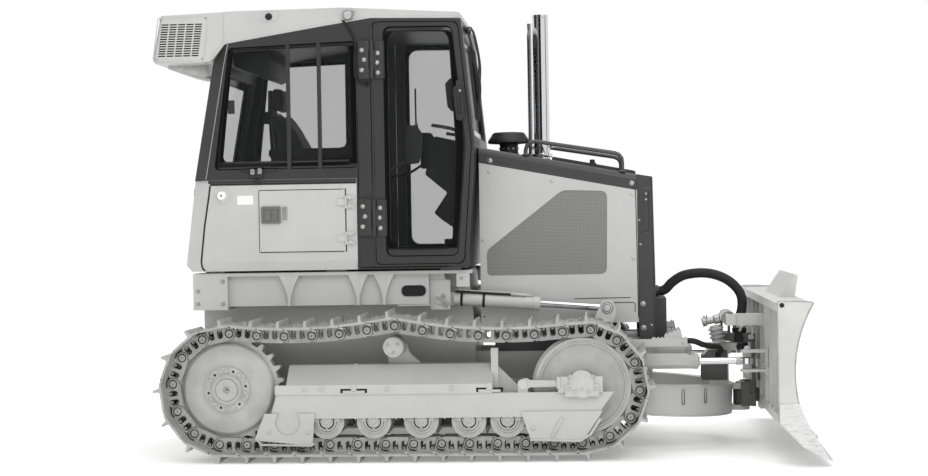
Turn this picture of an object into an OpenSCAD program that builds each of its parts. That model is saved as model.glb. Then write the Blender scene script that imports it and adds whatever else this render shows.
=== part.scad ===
/* [Track] */
// Distance between neighbouring track pins
link_pitch = 171.45; // [168:0.05:175]
// Shoes on each track
shoe_count = 38; // [38:1:40]
// Width of a shoe
shoe_w = 457; // [406:1:480]
// Distance between the two track centre lines
gauge = 1549; // [1540:1:1620]
// Sprocket teeth, two for each link that it carries
tooth_count = 25; // [25:1:25]
// Grouser tip outside the pin line
grouser_n = 98; // [92:1:104]
// Outer face of the shoe plates outside the pin line
plate_n = 58; // [55:1:62]
// Thickness of a shoe plate
plate_t = 14; // [10:1:18]
// Rail edge inside the pin line
rail_n = 42; // [38:1:46]
// Width of one rail of the chain
rail_w = 40; // [34:1:44]
// Gap between the two rails
rail_gap = 96; // [90:1:104]
// Where the sprocket's axle is
sprocket_x = -1060; // [-1080:1:-1040]
// Where the carrier roller is
carrier_x = -32; // [-60:1:0]
// Height of the carrier roller's axle
carrier_z = 692; // [685:1:698]
// Height of the pin line over the carrier roller
carrier_top_z = 824; // [815:1:830]
// Sag of the upper run ahead of the carrier roller
sag_front = 52; // [40:1:56]
// Sag of the upper run behind the carrier roller
sag_rear = 40; // [30:1:46]

/* [Track frame] */
// Height of a track roller's axle
roller_z = 240; // [236:1:244]
// Underside of the frame's beam
beam_z0 = 261; // [255:1:266]
// Top of the frame's beam
beam_z1 = 410; // [400:1:420]
// Half the width of the beam
beam_hw = 130; // [128:1:134]
// Thickness of the beam's side plates
beam_t = 20; // [16:1:22]
// Top of the sloping cover
cover_z = 580; // [560:1:600]
// Front end of the sloping cover
cover_x1 = 573; // [560:1:590]
// Thickness of the roller guards
guard_t = 14; // [10:1:18]

/* [Hull] */
// Half the width of the hull between the tracks
hull_hw = 395; // [380:1:400]
// Underside of the hull
hull_z0 = 300; // [290:1:320]
// Half the width of the engine rails' outer faces
rail_hw = 320; // [300:1:330]
// Half the width of the shelf above the tracks
shelf_hw = 620; // [600:1:640]
// Underside of the shelf
shelf_z0 = 940; // [930:1:960]
// Top of the shelf, on which the cab stands
shelf_z1 = 1150; // [1140:1:1156]

/* [Cab] */
// Half the width of the cab
cab_hw = 660; // [640:1:680]
// Thickness of the cab's walls and doors
wall = 45; // [38:1:50]
// Bottom edge of the cab and of the rear body
cab_z0 = 1164; // [1160:1:1170]
// Top of the rear body, under the side windows
deck_z = 1734; // [1715:1:1750]
// Rear end of the rear body
tank_x0 = -1372; // [-1380:1:-1360]
// Rear edge of the door post
post_x0 = -268; // [-275:1:-260]
// Front edge of the door post, behind the door
door_x0 = -150; // [-160:1:-140]
// Thickness of the window glass
glass_t = 6; // [4:1:8]
// Highest point of the roof
roof_z = 2797; // [2785:1:2800]

/* [Hood] */
// Half the width of the hood
hood_hw = 405; // [395:1:407]
// Thickness of the hood's sheet metal
sheet = 12; // [8:1:16]
// Rear end of the hood
hood_x0 = 480; // [478:1:486]
// Rear face of the radiator guard
guard_x0 = 1475; // [1465:1:1485]
// Front face of the radiator guard
guard_x1 = 1578; // [1570:1:1586]
// Top of the exhaust stack
stack_top_z = 2790; // [2700:1:2800]
// Outer radius of the exhaust stack
stack_r = 52; // [44:1:56]

/* [Blade linkage] */
// Pin on which the push frame lifts, along the machine
trunnion_x = 500; // [490:1:510]
// Height of that pin
trunnion_z = 385; // [380:1:390]
// Radius of that pin
trunnion_r = 45; // [38:1:50]
// Slope of the push frame at rest, in degrees
cframe_slope = 3.6; // [3.4:0.1:3.8]
// Inner face of the push frame's arms
arm_y0 = 465; // [460:1:470]
// Outer face of the push frame's arms
arm_y1 = 538; // [530:1:539]
// Half the height of the arms
arm_hh = 95; // [85:1:98]
// Distance from the pin to the front of the nose
nose_reach = 1580; // [1572:1:1586]
// Vertical axis on which the blade angles
pivot_x = 2130; // [2126:1:2134]
// Height of the axis on which the blade tilts
pivot_z = 300; // [295:1:305]
// Lift cylinder's pin on the hull, along the machine
lift_base_x = 235; // [228:1:242]
// Height of that pin
lift_base_z = 975; // [970:1:980]
// Lift cylinder's pin on the push frame, along the machine
lift_eye_x = 1277; // [1270:1:1284]
// Height of that pin
lift_eye_z = 898; // [892:1:904]
// Lift cylinders' distance from the middle plane
lift_y = 500; // [498:1:502]
// Angle cylinder's pin on the push frame
angle_base_x = 1325; // [1320:1:1330]
// Angle cylinder's pin on the blade
angle_eye_x = 2143; // [2138:1:2148]
// Height of the angle cylinders
angle_z = 556; // [550:1:562]
// Angle cylinders' distance from the middle plane
angle_y = 485; // [484:1:486]
// Tilt cylinder, along the machine
tilt_x = 2052; // [2050:1:2054]
// Height of the tilt cylinder
tilt_z = 805; // [800:1:810]
// Tilt cylinder's pin on the swivel, to the left
tilt_base_y = 190; // [185:1:195]
// Tilt cylinder's pin on the blade, to the right
tilt_eye_y = -310; // [-315:1:-305]

/* [Blade] */
// Width of the blade
blade_w = 2667; // [2500:1:2800]
// From the angling axis to the rear face of the blade's frame
blade_gap = 120; // [116:1:124]
// From that face to the tip of the cutting edge
blade_depth = 313; // [305:1:330]
// Thickness of the blade's plates
blade_t = 14; // [10:1:18]
// Height of the cutting edge's tip above the ground
blade_tip_z = 40; // [30:1:60]

/* [Hidden] */

RIGHT = -1;
LEFT = 1;
pale = [0.76, 0.76, 0.75];
dark = [0.27, 0.27, 0.27];
black = [0.14, 0.14, 0.14];
steel = [0.62, 0.62, 0.60];
chrome = [0.85, 0.85, 0.86];
glass = [0.75, 0.78, 0.78, 0.4];

// The part's origin is under the middle of its box: the machine is modelled
// from a point on the ground between the tracks, this far behind it.
rear_x = -1548;   // rear end of the climate unit
blade_x0 = pivot_x + blade_gap;
front_x = blade_x0 + blade_depth;   // tip of the blade
mid_x = (rear_x + front_x) / 2;

fit = 0.05;       // radial clearance of a pin in its bore
seat = 0.3;       // gap between pieces that bear on each other
clear = 5;        // gap around what moves
round_fn = 48;    // facets of the plain round pieces

track_y = gauge / 2;
wrap_turn = 720 / tooth_count;                       // turn of one link on a wheel
wrap_r = link_pitch / 2 / sin(wrap_turn / 2);        // pin line on the wheels
half_wrap = 180 / wrap_turn * link_pitch;            // pin line's length in half a turn
wheel_z = grouser_n + wrap_r;
straight = shoe_count * link_pitch / 2 - half_wrap;  // mean of the two runs
sag_extra = 8 / 3 * (sag_front * sag_front + sag_rear * sag_rear) / (straight / 2);
lower_run = straight - sag_extra / 2;
upper_run = straight + sag_extra / 2;
idler_x = sprocket_x + lower_run;
chain_phase = 0.67;                                  // first pin ahead of the sprocket, in links
upper_z = wheel_z + wrap_r;

// ---------------------------------------------------------------- helpers

// One finished piece: its colour and its place in the part's own frame
module piece(tint) color(tint) translate([-mid_x, 0, 0]) children();

// Pieces are drawn on the right-hand side and mirrored for the left
module on_side(side) mirror([0, side == LEFT ? 1 : 0, 0]) children();
module both_sides() { children(); mirror([0, 1, 0]) children(); }

// A flat shape in the side view (x ahead, z up), thick from y0 to y1
module side_slab(y0, y1) translate([0, y1, 0]) rotate([90, 0, 0]) linear_extrude(y1 - y0) children();
module side_plate(points, y0, y1) side_slab(y0, y1) polygon(points);
// A flat shape in the front view (y to the left, z up), thick from x0 to x1
module front_slab(x0, x1) translate([x0, 0, 0]) rotate([90, 0, 90]) linear_extrude(x1 - x0) children();
// A box from its lowest to its highest corner
module box(a, b) translate(a) cube(b - a);
// Round bars along Y and X, by their middle line
module bar_y(x, z, y0, y1, r, fn = round_fn)
    translate([x, y1, z]) rotate([90, 0, 0]) cylinder(h = y1 - y0, r = r, $fn = fn);
module bar_x(y, z, x0, x1, r, fn = round_fn)
    translate([x0, y, z]) rotate([0, 90, 0]) cylinder(h = x1 - x0, r = r, $fn = fn);
module upright(x, y, z0, z1, r, fn = 24) translate([x, y, z0]) cylinder(h = z1 - z0, r = r, $fn = fn);
// A turned piece on a cross axle: profile of [radius, y]
module turned_y(x, z, profile, fn = 64)
    translate([x, 0, z]) rotate([90, 0, 0]) mirror([0, 0, 1]) rotate_extrude($fn = fn) polygon(profile);

function unit(v) = v / norm(v);
// Corner p of an outline rounded by arcs of radius r
function arc_corner(a, p, b, r, n) =
    let (u = unit(a - p), v = unit(b - p), half = acos(u * v) / 2, reach = r / tan(half),
         centre = p + unit(u + v) * r / sin(half), s = p + u * reach - centre,
         e = p + v * reach - centre, turn = 180 - 2 * half,
         way = (s[0] * e[1] - s[1] * e[0]) > 0 ? 1 : -1)
    [for (i = [0 : n]) let (g = way * turn * i / n)
        centre + [s[0] * cos(g) - s[1] * sin(g), s[0] * sin(g) + s[1] * cos(g)]];
function rounded(points, r, n = 4) =
    let (c = len(points))
    [for (i = [0 : c - 1]) each arc_corner(points[(i + c - 1) % c], points[i], points[(i + 1) % c], r, n)];
// Same outline with a different radius at each corner; 0 leaves it sharp
function rounded_each(points, radii, n = 4) =
    let (c = len(points))
    [for (i = [0 : c - 1]) each (radii[i] == 0 ? [points[i]]
        : arc_corner(points[(i + c - 1) % c], points[i], points[(i + 1) % c], radii[i], n))];
function box2(a, b) = [a, [b[0], a[1]], b, [a[0], b[1]]];

// ------------------------------------------------------------- track chain

// Height of the upper run's pin line
function upper_pin_z(x) =
    let (ahead = x > carrier_x, x0 = ahead ? carrier_x : sprocket_x, x1 = ahead ? idler_x : carrier_x,
         z0 = ahead ? carrier_top_z : upper_z, z1 = ahead ? upper_z : carrier_top_z,
         sag = ahead ? sag_front : sag_rear, t = (x - x0) / (x1 - x0))
    z0 + (z1 - z0) * t - 4 * sag * t * (1 - t);
// A pin of the chain, counted forward along the ground from the sprocket
function pin_at(k) =
    let (s = ((k + chain_phase) % shoe_count) * link_pitch,
         up = s - lower_run, back = up - half_wrap, down = back - upper_run)
    s < lower_run ? [sprocket_x + s, wheel_z - wrap_r]
    : up < half_wrap ? let (g = up / half_wrap * 180 - 90) [idler_x, wheel_z] + wrap_r * [cos(g), sin(g)]
    : back < upper_run ? let (x = idler_x - back / upper_run * lower_run) [x, upper_pin_z(x)]
    : let (g = 90 + down / half_wrap * 180) [sprocket_x, wheel_z] + wrap_r * [cos(g), sin(g)];
pins = [for (k = [0 : shoe_count]) pin_at(k)];
function along(k) = unit(pins[k + 1] - pins[k]);
function outward(t) = [t[1], -t[0]];
// The chain's pin line moved outward by n, one point a pin
function offset_loop(n) =
    [for (k = [0 : shoe_count - 1])
        let (t = unit(along(k) + along((k + shoe_count - 1) % shoe_count))) pins[k] + n * outward(t)];
// Outline of one shoe: place along the link from its first pin, and outward
shoe_outline = [[4, plate_n], [8, plate_n], [13, grouser_n], [27, grouser_n], [33, plate_n],
                [link_pitch - 4, plate_n]];
// Window of a link, in the same terms
link_window = [for (s = [0.25, 0.75], n = s < 0.5 ? [-14, 33] : [33, -14]) [s * link_pitch, n]];
shoes_loop = [for (k = [0 : shoe_count - 1]) for (q = shoe_outline)
    pins[k] + q[0] * along(k) + q[1] * outward(along(k))];
rail_y0 = rail_gap / 2;
rail_y1 = rail_y0 + rail_w;
chain_hw = rail_y1;

module track() translate([0, -track_y, 0]) {
    side_slab(-shoe_w / 2, shoe_w / 2) difference() {
        polygon(shoes_loop);
        polygon(offset_loop(plate_n - plate_t));
    }
    for (y = [-rail_y1, rail_y0]) side_slab(y, y + rail_w) difference() {
        polygon(offset_loop(plate_n - plate_t / 2));
        polygon(offset_loop(-rail_n));
        // the outer links show the windows that hold the shoes' nuts
        if (y < 0) for (k = [0 : shoe_count - 1]) polygon([for (q = link_window)
            pins[k] + q[0] * along(k) + q[1] * outward(along(k))]);
    }
}
module right_track() piece(steel) on_side(RIGHT) track();
module left_track() piece(steel) on_side(LEFT) track();

// ------------------------------------------------------- sprocket and idler

// The sprocket's pockets stand under the pins that wrap it
pocket_turn = wrap_turn / 2;
rear_links = (lower_run + half_wrap + upper_run) / link_pitch - chain_phase;
pocket_start = 90 + (ceil(rear_links) - rear_links) * wrap_turn;
tooth_root_r = wrap_r - 37;
tooth_tip_r = wrap_r - 2;
sprocket_outline = [for (k = [0 : tooth_count - 1])
    let (g = pocket_start + k * pocket_turn)
    for (q = [[-0.26, tooth_root_r], [0.26, tooth_root_r], [0.42, tooth_tip_r], [0.58, tooth_tip_r]])
        [sprocket_x, wheel_z] + q[1] * [cos(g + q[0] * pocket_turn), sin(g + q[0] * pocket_turn)]];
tooth_hw = rail_y0 - 10;
drive_y = 45;          // inner face of the sprocket, from the track's middle

module sprocket() translate([0, -track_y, 0]) {
    side_slab(-tooth_hw, tooth_hw) polygon(sprocket_outline);
    turned_y(sprocket_x, wheel_z, [[0, drive_y], [200, drive_y], [260, tooth_hw], [280, tooth_hw],
        [280, -58], [268, -70], [200, -88], [150, -96], [139, -98], [139, -112], [92, -112],
        [92, -124], [66, -124], [66, -132], [22, -132], [22, -118], [0, -118]]);
}
module right_sprocket() piece(pale) on_side(RIGHT) sprocket();
module left_sprocket() piece(pale) on_side(LEFT) sprocket();

// Least distance from a point inside the chain to the rails' edge near x
rail_edge = offset_loop(-rail_n);
function edge_gap(c, x0, x1) = min([for (k = [0 : shoe_count - 1])
    let (a = rail_edge[k], b = rail_edge[(k + 1) % shoe_count], t = unit(b - a))
    if (a[0] > x0 && a[0] < x1) abs((c - a) * outward(t))]);
idler_r = edge_gap([idler_x, wheel_z], idler_x - 60, idler_x + 1000) - seat;
idler_hub_hw = beam_hw - beam_t - seat;
module idler() translate([0, -track_y, 0])
    turned_y(idler_x, wheel_z, [[0, idler_hub_hw], [70, idler_hub_hw], [90, 60], [200, 52], [262, 66],
        [270, rail_y1], [idler_r, rail_y1], [idler_r, rail_y0 - 4], [idler_r + 16, rail_y0 - 10],
        [idler_r + 16, 10 - rail_y0], [idler_r, 4 - rail_y0], [idler_r, -rail_y1], [270, -rail_y1],
        [262, -66], [200, -52], [90, -60], [70, -idler_hub_hw], [0, -idler_hub_hw]]);
module right_idler() piece(pale) on_side(RIGHT) idler();
module left_idler() piece(pale) on_side(LEFT) idler();

// ------------------------------------------------------------------ rollers

// Places of the track rollers along the machine
roller_xs = [-683, -446, -157, 134, 425, 662];
rail_z = grouser_n + rail_n;
roller_r = roller_z - rail_z - seat;
flange_r = roller_r + 6;
waist_r = roller_r - 27;                    // between the rails, clear of the sprocket's teeth
web_z0 = roller_z + flange_r + clear;       // underside of the beam's web, above the rollers
collar_y = rail_y1 + 18;
collar_hw = 80;
cap_y = collar_y + 12;                      // ends of a roller, from the track's middle
cap_r = 58;
notch_r = cap_r + 2;                        // round pockets for the caps inside the side plates
carrier_r = min([for (k = [0 : shoe_count - 1])
    let (a = rail_edge[k], b = rail_edge[(k + 1) % shoe_count])
    if (abs(a[0] - carrier_x) < 2 * link_pitch && a[1] > carrier_z)
        abs(([carrier_x, carrier_z] - a) * outward(unit(b - a)))]) - 2 * seat;

module track_roller(x) {
    turned_y(x, roller_z, [[0, cap_y], [cap_r, cap_y], [cap_r, collar_y], [flange_r, collar_y],
        [flange_r, rail_y1 + 3], [roller_r, rail_y1 + 1], [roller_r, rail_y0 - 2],
        [waist_r, rail_y0 - 7], [waist_r, 7 - rail_y0], [roller_r, 2 - rail_y0],
        [roller_r, -rail_y1 - 1], [flange_r, -rail_y1 - 3], [flange_r, -collar_y],
        [cap_r, -collar_y], [cap_r, -cap_y], [0, -cap_y]], 40);
    for (s = [-1, 1]) translate([x, s * (collar_y + 6), (roller_z + beam_z0 - seat) / 2])
        cube([2 * collar_hw, 12, beam_z0 - seat - roller_z], center = true);
}
carrier_support_y = 100;
module rollers() translate([0, -track_y, 0]) {
    for (x = roller_xs) track_roller(x);
    turned_y(carrier_x, carrier_z, [[0, carrier_support_y - seat], [50, carrier_support_y - seat],
        [50, rail_y1 + 4], [carrier_r, rail_y1], [carrier_r, -rail_y1], [carrier_r - 14, -rail_y1 - 6],
        [62, -rail_y1 - 10], [62, -rail_y1 - 20], [30, -rail_y1 - 22], [0, -rail_y1 - 22]], 40);
}
module right_rollers() piece(pale) on_side(RIGHT) rollers();
module left_rollers() piece(pale) on_side(LEFT) rollers();

// ------------------------------------------------------------- track frame

beam_x0 = sprocket_x + 370;                 // closed part of the beam, ahead of the sprocket's teeth
beam_x1 = idler_x - idler_r - 25;           // and behind the idler
side_x = [-795, -752, 1308, 1203];          // side plates: low rear, high rear, high front, low front
guard_y0 = beam_hw - 2;
slide_z = wheel_z + 62;                     // top of the idler's slide block

module track_frame() translate([0, -track_y, 0]) difference() {
    union() {
        box([beam_x0, -beam_hw, web_z0], [beam_x1, beam_hw, beam_z1]);
        // side plates that reach past the sprocket and fork around the idler
        for (y = [-beam_hw, beam_hw - beam_t]) side_plate([[side_x[0], beam_z0], [side_x[3], beam_z0],
            [side_x[2], beam_z1], [side_x[1], beam_z1]], y, y + beam_t);
        // sloping cover that sheds soil, over a bolted strip
        front_slab(beam_x0, cover_x1) polygon([[-beam_hw - 8, beam_z1 - 2], [-beam_hw - 8, beam_z1 + 56],
            [0, cover_z], [beam_hw, cover_z], [beam_hw, beam_z1 - 2]]);
        side_plate([[-760, beam_z1 - 2], [beam_x0, beam_z1 - 2], [beam_x0, beam_z1 + 56],
            [-760, beam_z1 + 56]], -beam_hw - 8, -beam_hw + beam_t);
        // guards below the beam, ahead and behind
        for (y = [-beam_hw - guard_t + 2, guard_y0]) {
            side_plate([[-826, beam_z0 + 34], [-890, 134], [-532, 96], [-517, beam_z0 + 34]], y, y + guard_t);
            side_plate([[745, beam_z0 + 34], [755, beam_z0], [802, 121], [1116, 112], [1239, beam_z0 + 34]],
                y, y + guard_t);
        }
        // support of the carrier roller
        side_plate(rounded_each([[-80, cover_z - 10], [130, cover_z - 10], [50, 640],
            [carrier_x + 50, carrier_z + 50], [carrier_x - 50, carrier_z + 50], [carrier_x - 60, 640]],
            [0, 0, 40, 40, 40, 40]), carrier_support_y, beam_hw);
        // post ahead of the cover, with its diagonal brace
        box([562, -60, beam_z1 - 2], [606, 60, 676]);
        side_plate([[600, beam_z1 - 2], [760, beam_z1 - 2], [606, 560], [600, 560]], -14, 14);
        // slide blocks that carry the idler's axle on the fork
        for (s = [-1, 1]) {
            box([idler_x - 150, s > 0 ? beam_hw - beam_t : -beam_hw - 22, beam_z1 - 2],
                [idler_x + 120, s > 0 ? beam_hw + 22 : beam_t - beam_hw, slide_z]);
            bar_y(idler_x, wheel_z, s > 0 ? beam_hw - beam_t : -beam_hw - 36,
                s > 0 ? beam_hw + 36 : beam_t - beam_hw, 66);
        }
        // adjuster rod between the beam and the slide blocks
        bar_x(-beam_hw - 6, 462, 745, idler_x - 140, 15, 24);
        bar_y(757, 462, -beam_hw - 24, -beam_hw + 12, 30, 32);
        box([727, -beam_hw + 2, beam_z1 - 2], [787, -beam_hw + beam_t, 462]);
    }
    // pockets for the rollers' caps in the side plates, open towards the rollers
    for (x = roller_xs) {
        bar_y(x, roller_z, -cap_y - seat, beam_t - beam_hw + 1, notch_r);
        bar_y(x, roller_z, beam_hw - beam_t - 1, cap_y + seat, notch_r);
    }
    // half-round opening over the rear roller's cap
    bar_y(roller_xs[0], roller_z, -beam_hw - guard_t, -beam_hw, 78);
    bar_y(roller_xs[0], roller_z, beam_hw, beam_hw + guard_t, 78);
}
module right_track_frame() piece(pale) on_side(RIGHT) track_frame();
module left_track_frame() piece(pale) on_side(LEFT) track_frame();

// -------------------------------------------------------------------- hull

hull_x0 = -1300;
hull_x1 = 440;
engine_rail_z = [330, 620];
shelf_x1 = 165;                             // front end of the shelf's side webs
lift_ear = [[lift_y - 45, lift_y - 22], [lift_y + 22, lift_y + 45]];
lift_pin_r = 25;
guard_z0 = 700;                             // underside of the radiator guard
boss_y = arm_y0 - clear;
pad_xs = [-1190, -420, 300];

winch_hole = [300, 560, 860];               // threaded holes in the rear face: y, low z, high z
winch_hole_r = 12;

module main_frame() piece(pale) {
    // hull that holds the drive line, with its belly plate and the winch's bolt holes
    difference() {
        side_plate([[hull_x0, 430], [-1180, hull_z0], [hull_x1, hull_z0], [hull_x1, 760],
            [400, shelf_z1], [hull_x0, shelf_z1]], -hull_hw, hull_hw);
        for (y = [-1, 1], z = [winch_hole[1], winch_hole[2]])
            bar_x(y * winch_hole[0], z, hull_x0 - 1, hull_x0 + 40, winch_hole_r, 24);
    }
    // cross member under the radiator guard
    box([1390, -rail_hw, 560], [guard_x1 - 20, rail_hw, guard_z0 - seat]);
    both_sides() {
        // engine rails
        box([hull_x1 - 20, -rail_hw, engine_rail_z[0]], [guard_x1 - 20, 80 - rail_hw, engine_rail_z[1]]);
        // final drive housing, cross tube and push frame pin
        bar_y(sprocket_x, wheel_z, drive_y + seat - track_y, -hull_hw + 10, 215, 64);
        box([270, -track_y + beam_hw + seat, 320], [390, -hull_hw + 10, beam_z1 + 10]);
        bar_y(trunnion_x, trunnion_z, -boss_y, 60 - rail_hw, 80);
        bar_y(trunnion_x, trunnion_z, -arm_y1 - 20, -boss_y, trunnion_r);
        bar_y(trunnion_x, trunnion_z, -arm_y1 - 20, -arm_y1 - 1, trunnion_r + 22);
        // shelf over the track: top plate, side web, rear box and flared ribs
        box([-1320, -shelf_hw, shelf_z1 - 20], [hull_x1, -hull_hw + 10, shelf_z1]);
        box([-1101, -shelf_hw + 40, shelf_z0], [shelf_x1, -hull_hw + 10, shelf_z1 - 10]);
        box([-1320, -shelf_hw, shelf_z0 - 20], [-1101, -hull_hw + 10, shelf_z1 - 10]);
        for (x = [-711, -276, -112]) box([x - 8, -shelf_hw, shelf_z0], [x + 8, 50 - shelf_hw, shelf_z1 - 10]);
        // pads that carry the cab and the rear body
        for (x = pad_xs) box([x - 60, -560, shelf_z1 - 1], [x + 60, -430, cab_z0 - seat]);
        // ears of the lift cylinder and their pin
        for (e = lift_ear) side_plate(rounded_each([[shelf_x1 - 20, shelf_z0 - 10], [lift_base_x + 40, 905],
            [lift_base_x + 62, lift_base_z], [lift_base_x + 50, 1040], [lift_base_x + 20, shelf_z1 - 10],
            [shelf_x1 - 20, shelf_z1 - 10]], [0, 30, 40, 30, 0, 0]), -e[1], -e[0]);
        bar_y(lift_base_x, lift_base_z, -lift_ear[1][1] - 6, -lift_ear[0][0] + 6, lift_pin_r);
        box([shelf_x1 - 25, -lift_ear[1][1], shelf_z0], [shelf_x1, -lift_ear[0][0], shelf_z1 - 10]);
    }
}

drawbar_z = 465;
drawbar_x = -1440;                          // middle of the hitch pin's bore
drawbar_hh = 32;
hitch_r = 26;
module drawbar() piece(dark) difference() {
    union() {
        box([drawbar_x, -60, drawbar_z - drawbar_hh], [hull_x0 - seat, 60, drawbar_z + drawbar_hh]);
        upright(drawbar_x, 0, drawbar_z - drawbar_hh, drawbar_z + drawbar_hh, 60, round_fn);
        box([hull_x0 - 26, -140, drawbar_z - drawbar_hh], [hull_x0 - seat, 140, drawbar_z + 120]);
    }
    upright(drawbar_x, 0, drawbar_z - 40, drawbar_z + 40, hitch_r, round_fn);
}

// --------------------------------------------------------------- rear body

floor_z = cab_z0 + 40;
well_x0 = -910;                             // seat well between the side tanks
well_hw = 360;
service_x = [-887, -335];                   // opening of the service door
service_z = [1277, 1669];
service_t = 24;
corner_d = 105;                             // chamfer of the rear body's corners,
cab_corner_d = 85;                          // and of the cab's above it
fold_z = 1222;                              // the sides lean in below this height,
fold_in = 16;                               // by this much at the foot
// A long square bar that takes off an upright corner of the right-hand side
module corner_cut(x, z, lean, d)
    translate([x, -cab_hw, z]) rotate([0, lean, 0]) rotate([0, 0, 45])
        cube([d * sqrt(2), d * sqrt(2), 2400], center = true);

module rear_body() piece(pale) {
    difference() {
        side_plate([[tank_x0 + 45, cab_z0], [post_x0 - seat, cab_z0], [post_x0 - seat, deck_z],
            [tank_x0 + 66, deck_z], [tank_x0, cab_z0 + 38]], -cab_hw, cab_hw);
        box([well_x0, -well_hw, floor_z], [post_x0 + 10, well_hw, deck_z + 10]);
        both_sides() {
            corner_cut(tank_x0 + 31, 1450, 7.1, corner_d);
            // the side's foot is folded inwards
            side_fold = [[fold_in - cab_hw, cab_z0 - 1], [-cab_hw - 1, cab_z0 - 1], [-cab_hw - 1, fold_z],
                [-cab_hw, fold_z]];
            front_slab(tank_x0 - 10, post_x0 + 10) polygon(side_fold);
            box([service_x[0], -cab_hw - 1, service_z[0]], [service_x[1], -well_hw - 130, service_z[1]]);
        }
    }
    both_sides() for (z = service_leaves)
        hinge_side(service_hinge, service_x[1] + 50, service_knuckle_r, z[0], z[1], service_gap);
}

// --------------------------------------------------------------------- cab

// Heights of the eaves: at the front, over the door, where they bend, at the rear, and under the climate unit
eave_front = roof_z - 84;
eave_door = roof_z - 72;
eave_bend = roof_z - 97;
eave_rear = roof_z - 213;
eave_low = roof_z - 315;
door_top = roof_z - 98;
front_xs = [417, 472, 397];                 // front wall: at the foot, at the widest and at the eaves
front_z = 1937;                             // height of its widest point
bend_xs = [-165, -341, -1088, -1175];       // where the eaves bend
cab_foot_x = -1306;                         // rear wall at the foot
waist_z = 1797;                             // lower edge of the side windows
// Outline of the cab frame in the side view, from the bottom of the door post
cab_outline = [[post_x0, cab_z0], [front_xs[0], cab_z0], [front_xs[1], front_z], [front_xs[2], eave_front],
               [bend_xs[0], eave_door], [bend_xs[1], eave_bend], [bend_xs[2], eave_rear], [bend_xs[3], eave_low],
               [cab_foot_x, deck_z + seat], [post_x0, deck_z + seat]];
cab_hollow = [[post_x0 + wall, floor_z], [front_xs[0] - wall, floor_z], [front_xs[1] - wall, front_z],
              [front_xs[2] - wall, eave_front - wall], [bend_xs[0], eave_door - wall],
              [bend_xs[1], eave_bend - wall], [-1062, eave_rear - wall], [-1118, eave_low - 10],
              [-1249, deck_z - 1], [post_x0 + wall, deck_z - 1]];
side_window = rounded([[-1062, eave_rear - 22], [-262, eave_rear + 4], [-262, waist_z], [-1165, waist_z]], 26);
door_z0 = cab_z0 + 32;
door_radii = [30, 40, 60, 40, 30, 20];
// The door's outline, or its opening, which is larger by g all round
function door_shape(g) = rounded_each([[door_x0 - g, door_z0 - g], [395 + g, door_z0 - g], [450 + g, front_z],
    [375 + g, door_top - 8 + g], [door_x0 + 46, door_top + g], [door_x0 - g, door_top - 5 + g]], door_radii);
door_outline = door_shape(0);
door_hole = door_shape(clear);
door_window = rounded([[door_x0 + 60, door_z0 + 44], [362, door_z0 + 44], [417, front_z], [343, door_top - 30],
                       [door_x0 + 60, door_top - 26]], 46);
windshield_hw = cab_hw - 120;
windshield = rounded(box2([-windshield_hw, 1990], [windshield_hw, eave_front - 100]), 40);
quarter_window = rounded(box2([60 - cab_hw, 1270], [220 - cab_hw, 1880]), 25);
rear_hw = cab_hw - 160;
rear_window = rounded(box2([-rear_hw, 1820], [rear_hw, eave_low - 70]), 40);
// Points drawn in towards their middle by g
function middle(points) = [for (i = [0, 1]) (min([for (p = points) p[i]]) + max([for (p = points) p[i]])) / 2];
function drawn_in(points, g) = let (c = middle(points)) [for (p = points) p + unit(c - p) * g];
window_bars_x = [-690, -495];

module cab_frame() piece(dark) difference() {
    union() {
        difference() {
            side_plate(cab_outline, -cab_hw, cab_hw);
            side_plate(cab_hollow, wall - cab_hw, cab_hw - wall);
            side_plate(side_window, -cab_hw - 1, cab_hw + 1);
            both_sides() side_plate(door_hole, -cab_hw - 1, wall + clear - cab_hw);
            front_slab(300, 600) {
                polygon(windshield);
                polygon(quarter_window);
                mirror([1, 0]) polygon(quarter_window);
            }
            front_slab(-1400, -1000) polygon(rear_window);
        }
        both_sides() {
            for (x = window_bars_x) box([x - 12, -cab_hw + 2, waist_z - 10], [x + 12, -cab_hw + 20, eave_rear + 10]);
            for (z = door_leaves) hinge_side(door_hinge, post_x0 + 25, door_knuckle_r, z[0], z[1], door_gap);
        }
    }
    both_sides() corner_cut(cab_foot_x, deck_z, 9.9, cab_corner_d);
}

roof_hw = cab_hw - 8;
// Lamp and round marker on the roof's sides: x, z, radius, how far they stand out
roof_lamps = [[-304, roof_z - 49, 30, 26], [-803, roof_z - 46, 20, 14]];
module cab_roof() piece(pale) {
    difference() {
        side_plate([[bend_xs[2], eave_rear + seat], [bend_xs[1], eave_bend + seat], [bend_xs[0], eave_door + seat],
            [398, eave_front + seat], [402, eave_front + 22], [385, eave_front + 40], [bend_xs[1], roof_z],
            [bend_xs[2], roof_z - 7]], -roof_hw, roof_hw);
        both_sides() corner_cut(402, eave_front + 10, 0, 42);
    }
    both_sides() for (lamp = roof_lamps)
        bar_y(lamp[0], lamp[1], -roof_hw - lamp[3], 20 - roof_hw, lamp[2], 32);
}

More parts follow.
